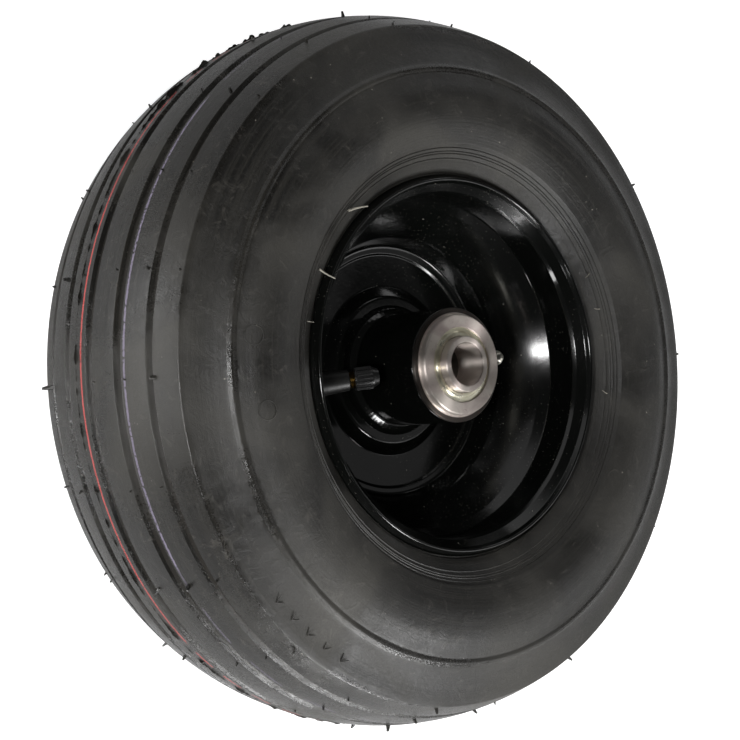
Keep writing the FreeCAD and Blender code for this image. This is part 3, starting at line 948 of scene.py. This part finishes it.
    def strands(self) -> bpy.types.Mesh:
        """Make the long pale strands that hang from the band over the rim."""
        roots, ways, lengths = [], [], []
        for angle, radius, height, swing, length in self.strand_places:
            spin = turn("Z", angle, 3)
            roots.append(spin @ Vector((radius, 0, height)) * MM)
            ways.append(spin @ Vector((-1.0, swing, 0.15)).normalized())
            lengths.append(length * MM)
        strand = spike(self.strand_width)
        return scatter(seedbed(roots, ways, lengths), strand, STRAND_RUBBER, lean=4.0, seed=3)

    def ticks(self) -> bpy.types.Mesh:
        """Make the row of small raised chevrons on the shoulder."""
        roots, ways, lengths = [], [], []
        for k in range(self.tick_count):
            spin = turn("Z", self.tick_start + self.tick_step * k, 3)
            for side in (-0.35, 1.1):
                roots.append(spin @ Vector(self.tick_root) * MM)
                ways.append(spin @ Vector((-0.8, side, 0.36)).normalized())
                lengths.append(self.tick_length * MM)
        return scatter(seedbed(roots, ways, lengths), spike(self.tick_width), TYRE_RUBBER, lean=5.0, seed=5)

    def pads(self) -> bpy.types.Mesh:
        """Make the plain round rings that the mould's plugs leave on the sidewall."""
        points, faces = [], []
        middle, rise, sunk = self.pad_radius, self.pad_rise, -0.6
        outline = rounded([
            (middle - 0.3, sunk, 0), (middle + 0.3, sunk, 0),
            (middle + 0.2, rise, 0.1), (middle - 0.2, rise, 0.1),
        ])
        for angle, radius, height, tilt in self.pad_places:
            ring = lathe(outline, self.pad_segments)
            place = turn("Z", angle) @ Matrix.Translation(Vector((radius, 0, height)) * MM)
            ring.transform(place @ turn("Y", tilt))
            start = len(points)
            points += [tuple(v.co) for v in ring.vertices]
            faces += [tuple(start + i for i in face.vertices) for face in ring.polygons]
        return finished(points, faces)

    def dress(self, rim: Rim) -> None:
        """Make the tyre's pieces."""
        mesh = self.settle(lathe(self.outline(rim), self.segments))
        show("ribbed_tyre", mesh, TYRE_RUBBER, Body.WHEEL, "tyre_rubber", "tyre")
        show("mould_flash", self.settle(self.flash()), TYRE_RUBBER, Body.WHEEL, "tyre_rubber")
        show("vent_hairs", self.settle(self.hairs()), TYRE_RUBBER, Body.WHEEL, "tyre_rubber")
        show("vent_strands", self.strands(), STRAND_RUBBER, Body.WHEEL, "tyre_rubber")
        show("shoulder_ticks", self.ticks(), TYRE_RUBBER, Body.WHEEL, "tyre_rubber")
        show("sidewall_pads", self.pads(), TYRE_RUBBER, Body.WHEEL, "tyre_rubber")


def spike(width: float, sides: int = 6, rings: int = 4) -> bpy.types.Mesh:
    """Make one tapering hair, one metre tall and slightly bent, for scaling.

    Args:
        width: Diameter at the root in millimetres for a hair two millimetres long.
        sides: Number of sides.
        rings: Number of rings along it.

    Returns:
        The hair's mesh.
    """
    points, faces = [], []
    foot = width / 2 / HAIR_LENGTH
    taper, bend = 0.45, 0.12
    for k in range(rings):
        share = k / (rings - 1)
        thick = foot * (1.0 - taper * share)
        for i in range(sides):
            angle = 2 * math.pi * i / sides
            points.append((thick * math.cos(angle) + bend * share * share, thick * math.sin(angle), share))
    for k in range(rings - 1):
        for i in range(sides):
            j = (i + 1) % sides
            faces.append((k * sides + i, k * sides + j, (k + 1) * sides + j, (k + 1) * sides + i))
    faces.append(tuple(range(sides))[::-1])
    faces.append(tuple((rings - 1) * sides + i for i in range(sides)))
    return finished(points, faces)


def scatter_tree() -> bpy.types.NodeTree:
    """Build the Geometry Nodes tree that stands a shape on every root.

    Returns:
        The tree, with inputs for the shape, its greatest lean, the seed and the material.
    """
    tree = bpy.data.node_groups.new("Stand on roots", "GeometryNodeTree")
    sockets = (
        ("Roots", "NodeSocketGeometry"), ("Shape", "NodeSocketObject"), ("Lean", "NodeSocketFloat"),
        ("Seed", "NodeSocketInt"), ("Material", "NodeSocketMaterial"),
    )
    for name, kind in sockets:
        tree.interface.new_socket(name=name, in_out="INPUT", socket_type=kind)
    tree.interface.new_socket(name="Geometry", in_out="OUTPUT", socket_type="NodeSocketGeometry")
    put = partial(add, tree)
    given = put("NodeGroupInput").outputs
    way = put("GeometryNodeInputNamedAttribute", {"Name": "outward"}, data_type="FLOAT_VECTOR")
    tall = put("GeometryNodeInputNamedAttribute", {"Name": "tall"}, data_type="FLOAT")
    facing = put("FunctionNodeAlignRotationToVector", {"Vector": way}, axis="Z")
    less = put("ShaderNodeMath", (given["Lean"], -1.0), operation="MULTIPLY")
    low = put("ShaderNodeCombineXYZ", (less, less, -math.pi))
    high = put("ShaderNodeCombineXYZ", (given["Lean"], given["Lean"], math.pi))
    limits = {"Min": low, "Max": high, "Seed": given["Seed"]}
    chance = put("FunctionNodeRandomValue", limits, data_type="FLOAT_VECTOR")
    tilt = put("FunctionNodeEulerToRotation", [chance])
    turned = put("FunctionNodeRotateRotation", (facing, tilt), rotation_space="LOCAL")
    shape = put("GeometryNodeObjectInfo", {"Object": given["Shape"]}).outputs["Geometry"]
    stood = put("GeometryNodeInstanceOnPoints", {
        "Points": given["Roots"], "Instance": shape, "Rotation": turned, "Scale": tall})
    real = put("GeometryNodeRealizeInstances", [stood])
    dressed = put("GeometryNodeSetMaterial", {"Geometry": real, "Material": given["Material"]})
    put("NodeGroupOutput", [dressed])
    return tree


def seedbed(roots: Sequence[Vector], ways: Sequence[Vector], lengths: Sequence[float]) -> bpy.types.Mesh:
    """Make the points that shapes stand on.

    Args:
        roots: Place of each point in metres.
        ways: The way out of the surface at each.
        lengths: Height of each shape in metres.

    Returns:
        The points with their two attributes.
    """
    bed = bpy.data.meshes.new("roots")
    bed.from_pydata(roots, [], [])
    outward = bed.attributes.new("outward", "FLOAT_VECTOR", "POINT")
    outward.data.foreach_set("vector", [c for way in ways for c in way])
    bed.attributes.new("tall", "FLOAT", "POINT").data.foreach_set("value", lengths)
    return bed


def scatter(bed: bpy.types.Mesh, shape: bpy.types.Mesh, finish: Finish, lean: float,
            seed: int) -> bpy.types.Mesh:
    """Stand copies of a shape on the seedbed's points.

    Args:
        bed: Points with an outward direction and a height.
        shape: The shape, one metre tall along Z.
        finish: The finish of the copies.
        lean: The greatest lean in degrees.
        seed: The seed of the lean and turn.

    Returns:
        All the copies as one plain mesh.
    """
    tree = bpy.data.node_groups.get("Stand on roots") or scatter_tree()
    carrier = bpy.data.objects.new("roots", bed)
    sample = bpy.data.objects.new("shape", shape)
    for thing in (carrier, sample):
        bpy.context.scene.collection.objects.link(thing)
    modifier = carrier.modifiers.new("Stand", "NODES")
    modifier.node_group = tree
    values = {"Shape": sample, "Lean": math.radians(lean), "Seed": seed, "Material": finish.material()}
    for item in tree.interface.items_tree:
        if item.in_out == "INPUT" and item.name in values:
            modifier[item.identifier] = values[item.name]
    graph = bpy.context.evaluated_depsgraph_get()
    made = bpy.data.meshes.new_from_object(carrier.evaluated_get(graph))
    carrier.modifiers.clear()
    for thing in (carrier, sample):
        bpy.data.objects.remove(thing)
    return made


@dataclass
class Bearing:
    """The flanged ball bearing, its shields and its inner ring that stands out."""

    face: float = 52.1
    width: float = 12.7
    stand: float = 3.5
    bore: float = 9.525
    inner_radius: float = 12.4
    shoulder_radius: float = 13.2
    outer_bore: float = 16.5
    outer_radius: float = 22.225
    flange_radius: float = 25.4
    flange_place: float = 47.2
    flange_thickness: float = 1.6
    pitch: float = 14.85
    track: float = 3.295
    shield_depth: float = 0.8
    shield_sheet: float = 0.4
    segments: int = 256
    sleeve_segments: int = 192

    @property
    def back(self) -> float:
        """Place of the bearing's inner face."""
        return self.face - self.width

    @property
    def middle(self) -> float:
        """Place of the ball row."""
        return self.face - self.width / 2

    def outer_ring(self) -> list[Spot]:
        """Give the outer ring's outline."""
        top = self.flange_place + self.flange_thickness
        swing = math.degrees(math.acos((self.outer_bore - self.pitch) / self.track))
        outside = rounded([
            (self.outer_bore, self.back, 0.2), (self.outer_radius, self.back, 0.5),
            (self.outer_radius, self.flange_place, 0), (self.flange_radius, self.flange_place, 0.4),
            (self.flange_radius, top, 0.6), (self.outer_radius + 0.1, top, 0.3),
            (self.outer_radius, self.face, 0.8), (self.outer_bore, self.face, 0.5),
        ], step=9.0)
        return outside + bow((self.pitch, self.middle), self.track, swing, -swing)

    def inner_ring(self) -> list[Spot]:
        """Give the inner ring's outline."""
        top = self.face + self.stand
        neck = self.face - 1.5
        swing = math.degrees(math.acos((self.pitch - self.shoulder_radius) / self.track))
        corners = rounded([
            (self.bore, top, 0.6), (self.bore, self.back, 0.4), (self.shoulder_radius, self.back, 0.3),
        ], closed=False) + bow((self.pitch, self.middle), self.track, 180 + swing, 180 - swing)
        corners += [(self.shoulder_radius, neck - 0.2), (self.inner_radius, neck)]
        return corners + rounded([
            (self.inner_radius, neck, 0), (self.inner_radius, top, 0.6), (self.bore, top, 0.6),
            (self.bore, self.back, 0)], closed=False, step=9.0)[1:-1]

    def shield(self) -> list[Spot]:
        """Give the outer shield's outline with its pressed step and rolled edge."""
        near = self.face - self.shield_depth
        far = near - self.shield_sheet
        inner = self.inner_radius + 0.3
        step = (inner + self.outer_bore) / 2
        return rounded([
            (inner, near + 0.5, 0.15), (step - 0.3, near + 0.5, 0.3), (step + 0.3, near, 0.3),
            (self.outer_bore + 0.3, near, 0), (self.outer_bore + 0.3, far, 0), (step + 0.1, far, 0.3),
            (step - 0.5, far + 0.5, 0.3), (inner, far + 0.5, 0.15),
        ])

    def sleeve(self) -> list[Spot]:
        """Give the spacer sleeve's outline."""
        inner, end = self.bore + 0.15, self.back
        outer = self.inner_radius
        return rounded([(inner, -end, 0.3), (outer, -end, 0.3), (outer, end, 0.3), (inner, end, 0.3)])

    def dress(self) -> None:
        """Make both bearings' pieces and the sleeve between them."""
        rings = (
            ("flanged_ring", self.outer_ring(), RING_STEEL, Body.WHEEL, "bearing_steel", "outer_ring"),
            ("race", self.inner_ring(), RACE_STEEL, Body.RACES, "bearing_steel", "inner_ring"),
            ("shield", self.shield(), SHIELD_ZINC, Body.WHEEL, "shield_zinc", "shield_outer"),
        )
        for side in Side:
            for name, outline, finish, body, slot, node in rings:
                mesh = lathe(mirror(outline, side), self.segments)
                show(f"{name}_{side.word}", mesh, finish, body, slot, f"bearing_{node}_{side.word}")
        mesh = lathe(self.sleeve(), self.sleeve_segments)
        show("sleeve", mesh, SLEEVE_STEEL, Body.RACES, "sleeve_steel", "spacer_sleeve")


@dataclass
class Valve:
    """The snap-in valve: rubber stem, brass tube and ribbed dust cap."""

    rim: Rim
    angle: float = 183.5
    wall_share: float = 0.5
    wall_end: Spot = (74.5, 31.5)
    head_radius: float = 7.6
    tail: float = -8.0
    groove_radius: float = 5.73
    groove_ends: Spot = (-1.9, -0.2)
    neck_radius: float = 4.5
    stem_radius: float = 5.3
    collar_radius: float = 7.4
    collar_height: float = 3.2
    rubber_height: float = 22.4
    brass_height: float = 32.0
    brass_bores: Spot = (1.4, 1.92)
    thread_radius: float = 3.85
    thread_pitch: float = 0.8
    thread_depth: float = 0.35
    tube_radius: float = 3.1
    cap_radius: float = 5.1
    cap_length: float = 11.0
    cap_grip: float = 7.4
    rib_count: int = 18
    segments: int = 72
    place: Matrix = field(init=False)

    def __post_init__(self) -> None:
        """Stand the valve's own axis at a right angle on the well's sloping wall."""
        well = Vector((self.rim.well_radius, 0, self.rim.sheet))
        seat = Vector((self.wall_end[0], 0, self.wall_end[1]))
        foot = well.lerp(seat, self.wall_share) * MM
        run = seat - well
        lean = -math.atan2(run.z, run.x)
        self.place = turn("Z", self.angle) @ Matrix.Translation(foot) @ Matrix.Rotation(lean, 4, "Y")

    def stand(self, mesh: bpy.types.Mesh) -> bpy.types.Mesh:
        """Put a mesh made along +Z on the rim."""
        mesh.transform(self.place)
        return mesh

    def stem(self) -> list[Spot]:
        """Give the rubber stem's outline, with its head inside the tyre."""
        tube, groove, tail, head = self.tube_radius, self.groove_radius, self.tail, self.head_radius
        back, front = self.groove_ends
        return rounded([
            (tube, tail, 0), (head - 1.4, tail, 0.8), (head, tail + 2.0, 1.0), (head, back, 0),
            (groove, back, 0), (groove, front, 0),
            (self.collar_radius, front, 0), (self.collar_radius, 1.0, 0.6),
            (self.stem_radius + 0.3, self.collar_height, 1.0),
            (self.stem_radius, self.rubber_height * 0.55, 4.0),
            (self.neck_radius, self.rubber_height, 0.6), (tube, self.rubber_height, 0),
        ])

    def brass(self) -> list[Spot]:
        """Give the brass tube's outline with its thread."""
        narrow, wide = self.brass_bores
        low, top, pitch = self.rubber_height, self.brass_height, self.thread_pitch
        outside = self.tube_radius - 0.02
        root = self.thread_radius - self.thread_depth
        corners: list[Corner] = [(narrow, self.tail, 0), (outside, self.tail, 0), (outside, low, 0)]
        for k in range(int((top - low - 1.0) / pitch)):
            start = low + 0.5 + k * pitch
            corners += [(root, start, 0), (self.thread_radius, start + pitch / 2, 0)]
        corners += [(root, top, 0.2), (wide, top, 0), (wide, top - 12.0, 0), (narrow, top - 13.0, 0)]
        return rounded(corners)

    def cap(self) -> list[Spot]:
        """Give the cap's outline."""
        mouth = self.brass_height - self.cap_grip
        end = mouth + self.cap_length
        thread, floor, outer = self.thread_radius + 0.12, self.brass_height + 0.3, self.cap_radius
        wall, pocket = outer - 0.35, self.brass_bores[0]
        return rounded([
            (thread, mouth, 0.1), (wall, mouth, 0.3), (wall, end - 2.6, 0.6), (outer - 1.0, end - 1.6, 0.5),
            (outer - 1.6, end, 0.5), (0, end, 0), (0, floor + 1.2, 0), (pocket, floor + 1.2, 0),
            (pocket, floor, 0), (thread, floor, 0),
        ])

    def ribs(self) -> bpy.types.Mesh:
        """Make the cap's grip ribs."""
        mouth = self.brass_height - self.cap_grip
        roots, ways = [], []
        for k in range(self.rib_count):
            root = Vector((self.cap_radius - 0.4, 0, mouth + 0.6)) * MM
            roots.append(turn("Z", 360 * k / self.rib_count, 3) @ root)
            ways.append(Vector((0, 0, 1)))
        bed = seedbed(roots, ways, [self.cap_length * 0.68 * MM] * self.rib_count)
        bar = rounded([(0, 0, 0), (0.06, 0, 0.02), (0.06, 0.97, 0.03), (0.03, 1.0, 0.01), (0, 1.0, 0)])
        thick = [(radius / MM, place / MM) for radius, place in bar]
        return scatter(bed, lathe(thick, 10), NYLON, lean=0.0, seed=0)

    def dress(self) -> None:
        """Make the valve's pieces."""
        mesh = self.stand(lathe(self.stem(), self.segments))
        show("stem", mesh, VALVE_RUBBER, Body.WHEEL, "valve_rubber", "valve_stem_rubber")
        mesh = self.stand(lathe(self.brass(), self.segments))
        show("brass_tube", mesh, BRASS, Body.WHEEL, "valve_brass", "valve_stem_brass")
        mesh = self.stand(lathe(self.cap(), self.segments))
        show("cap", mesh, NYLON, Body.CAP, "cap_plastic", "valve_cap")
        show("cap_ribs", self.stand(self.ribs()), NYLON, Body.CAP, "cap_plastic")


@dataclass
class GreaseFitting:
    """The grease fitting that stands out of the hub tube."""

    rim: Rim
    angle: float = 2.7
    place_along: float = 35.4
    reach: float = 15.2
    flats: float = 11.0
    hex_height: float = 4.4
    neck: float = 2.2
    head: float = 3.2
    hole: float = 1.3
    segments: int = 96

    def hexagon(self, radius: float, place: float, angle: float) -> float:
        """Flatten the band that a spanner grips to six flats."""
        start = self.rim.tube_radius + 0.6
        if not start - 0.01 <= place <= start + self.hex_height + 0.01 or radius < self.flats / 2 - 0.4:
            return radius
        off_flat = (angle + math.pi / 6) % (math.pi / 3) - math.pi / 6
        return min(radius, self.flats / 2 / math.cos(off_flat))

    def outline(self) -> list[Spot]:
        """Give the fitting's outline along its own axis, measured from the axle line."""
        tube = self.rim.tube_radius
        start, top = tube + 0.6, tube + self.reach
        end = start + self.hex_height
        wide, tail, neck, head = self.flats / math.sqrt(3), tube - 3.6, self.neck, self.head
        seat, hole = top - 1.4, self.hole * 0.72
        return rounded([
            (0, tail, 0), (3.6, tail, 0), (3.9, start, 0), (wide, start, 0.1), (wide, end - 0.7, 0),
            (self.flats / 2 - 0.3, end, 0.1), (neck + 0.9, end + 0.5, 0), (neck, end + 2.2, 0.8),
            (neck, top - 4.6, 0.6), (head, top - 3.6, 0.7), (head, top - 2.0, 1.0),
            (self.hole + 0.5, top, 0.1), (hole, top - 0.1, 0), (hole, seat, 0), (0, seat, 0),
        ])

    def dress(self) -> None:
        """Make the fitting's body."""
        mesh = lathe(self.outline(), self.segments, self.hexagon)
        along = Matrix.Translation((0, 0, self.place_along * MM))
        mesh.transform(turn("Z", self.angle) @ along @ turn("Y", 90.0))
        show("nipple", mesh, FITTING_ZINC, Body.WHEEL, "fitting_zinc", "grease_fitting_body")


INNER_NODES: tuple[tuple[Finish, tuple[str, ...]], ...] = (
    (ENAMEL, ("rim_seam_weld",)),
    (BALL_STEEL, ("bearing_balls_front", "bearing_balls_back", "grease_fitting_ball")),
    (CAGE_STEEL, ("ball_cage_front", "ball_cage_back")),
    (SHIELD_ZINC, ("bearing_shield_inner_front", "bearing_shield_inner_back")),
    (BRASS, ("valve_core_barrel", "valve_core_pin")),
)


def dress_inner_nodes() -> None:
    """Give the nodes that keep their own shape a finish."""
    for finish, names in INNER_NODES:
        for name in names:
            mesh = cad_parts[name].data
            mesh.materials.clear()
            mesh.materials.append(finish.material())
            log.info("%s: finished as %s", name, finish.title)


@dataclass(frozen=True)
class Lamp:
    """A soft rectangular lamp that faces the wheel's middle."""

    name: str
    azimuth: float
    elevation: float
    width: float
    height: float
    radiance: float
    distance: float = 1.2

    def hang(self) -> None:
        """Put the lamp in the scene."""
        light = bpy.data.lights.new(self.name, "AREA")
        light.shape = "RECTANGLE"
        light.size = 2 * self.distance * math.tan(math.radians(self.width / 2))
        light.size_y = 2 * self.distance * math.tan(math.radians(self.height / 2))
        light.energy = self.radiance * math.pi * light.size * light.size_y
        lamp = bpy.data.objects.new(self.name, light)
        bpy.context.scene.collection.objects.link(lamp)
        way = turn("Z", self.azimuth, 3) @ turn("Y", -self.elevation, 3) @ Vector((1, 0, 0))
        lamp.location = way * self.distance
        lamp.rotation_euler = way.to_track_quat("Z", "Y").to_euler()
        lamp.visible_camera = False


@dataclass
class Studio:
    """The floor, lamps, surroundings and camera."""

    floor_radius: float = 6.0
    distance: float = 1015.9624
    swing: float = -41.37427
    roll: float = -4.65750
    pitch: float = -0.025387
    yaw: float = -0.303924
    drop: float = 1.6
    lens: float = 107.74
    sensor: float = 36.0
    paper_white: float = 0.6
    paper_glow: float = 0.85
    room_light: float = 0.36
    lamps: tuple[Lamp, ...] = (
        Lamp("key", 185.4, 37.6, 6.5, 9.0, 80.0, 0.56),
        Lamp("side", 281.0, 38.0, 13.0, 15.0, 30.0),
        Lamp("low side", 271.0, 5.6, 20.0, 5.0, 55.0),
        Lamp("strip", 230.0, 18.0, 6.0, 9.0, 14.0),
        Lamp("lower", 322.0, 35.0, 46.0, 20.0, 1.8),
        Lamp("right", 12.0, 26.0, 10.0, 8.0, 1.6),
        Lamp("far right", 50.0, 22.0, 10.0, 12.0, 2.2),
        Lamp("wall", 105.0, 20.0, 80.0, 22.0, 0.6),
        Lamp("card", 171.0, -3.0, 36.0, 18.0, 3.0, 0.37),
        Lamp("overhead", 346.0, 47.0, 26.0, 36.0, 0.25),
    )

    def camera(self) -> None:
        """Set the camera where the photograph was taken from."""
        spot = turn("Y", self.swing, 3) @ Vector((0, 0, self.distance))
        back = spot.normalized()
        up = Vector((0, 1, 0))
        look = Matrix((up.cross(back), up, back))
        tilt = turn("X", self.pitch, 3) @ turn("Y", self.yaw, 3)
        world_to_camera = tilt @ turn("Z", -self.roll, 3) @ look
        lens = bpy.data.cameras.new("camera")
        lens.lens = self.lens
        lens.sensor_width = self.sensor
        lens.clip_end = 50.0
        camera = bpy.data.objects.new("camera", lens)
        bpy.context.scene.collection.objects.link(camera)
        place = (spot - Vector((0, 0, self.drop))) * MM
        camera.matrix_world = Matrix.Translation(place) @ world_to_camera.transposed().to_4x4()
        bpy.context.scene.camera = camera

    def floor(self) -> None:
        """Lay the white floor under the wheel, with a faint shadow in it."""
        mesh = bpy.data.meshes.new("floor")
        work = bmesh.new()
        bmesh.ops.create_circle(work, cap_ends=True, segments=96, radius=self.floor_radius)
        work.to_mesh(mesh)
        work.free()
        ground = bpy.data.objects.new("floor", mesh)
        ground.location.z = CAD_BOX[0][2]
        bpy.context.scene.collection.objects.link(ground)
        paper = bpy.data.materials.new("White paper sweep")
        paper.use_nodes = True
        tree = paper.node_tree
        tree.nodes.clear()
        put = partial(add, tree)
        matt = put("ShaderNodeBsdfDiffuse", {"Color": (*[self.paper_white] * 3, 1.0)})
        bright = put("ShaderNodeEmission", {"Strength": self.paper_glow})
        path = put("ShaderNodeLightPath").outputs
        rays = (path["Is Camera Ray"], path["Is Transmission Ray"])
        seen = put("ShaderNodeMath", rays, operation="MAXIMUM")
        both = put("ShaderNodeAddShader", (matt, bright))
        put("ShaderNodeOutputMaterial", [put("ShaderNodeMixShader", (seen, matt, both))])
        mesh.materials.append(paper)

    def surroundings(self) -> None:
        """Make the sweep white up to the horizon and the room above it dim."""
        world = bpy.context.scene.world or bpy.data.worlds.new("studio")
        bpy.context.scene.world = world
        world.use_nodes = True
        tree = world.node_tree
        tree.nodes.clear()
        put = partial(add, tree)
        way = put("ShaderNodeTexCoord").outputs["Generated"]
        rise = put("ShaderNodeSeparateXYZ", [way]).outputs[2]
        path = put("ShaderNodeLightPath").outputs
        room = put("ShaderNodeMapRange", (rise, 0.0, 0.6, 0.10, 0.03))
        sweep = put("ShaderNodeMapRange", (rise, 0.03, 0.09, 1.0, 0.0))
        rays = (path["Is Glossy Ray"], path["Is Transmission Ray"])
        glossy = put("ShaderNodeMath", rays, operation="MAXIMUM")
        low = put("ShaderNodeMath", (sweep, glossy), operation="MULTIPLY")
        seen = put("ShaderNodeMath", (path["Is Camera Ray"], low), operation="MAXIMUM")
        level = {0: path["Is Diffuse Ray"], 2: room, 3: self.room_light}
        level = {0: seen, 2: put("ShaderNodeMix", level, data_type="FLOAT"), 3: 1.0}
        light = {"Color": (1.0, 1.0, 1.0, 1.0), "Strength": put("ShaderNodeMix", level, data_type="FLOAT")}
        put("ShaderNodeOutputWorld", [put("ShaderNodeBackground", light)])

    def set_up(self) -> None:
        """Make the whole studio."""
        bpy.context.scene.view_settings.view_transform = "Standard"
        self.floor()
        self.surroundings()
        for lamp in self.lamps:
            lamp.hang()
        self.camera()


def main() -> None:
    """Build the wheel's pieces in order and set the studio round them."""
    logging.basicConfig(level=logging.INFO, format="%(name)s: %(message)s")
    rim = Rim()
    rim.dress()
    Tyre().dress(rim)
    Bearing().dress()
    Valve(rim).dress()
    GreaseFitting(rim).dress()
    dress_inner_nodes()
    Studio().set_up()


if __name__ == "__main__":
    main()
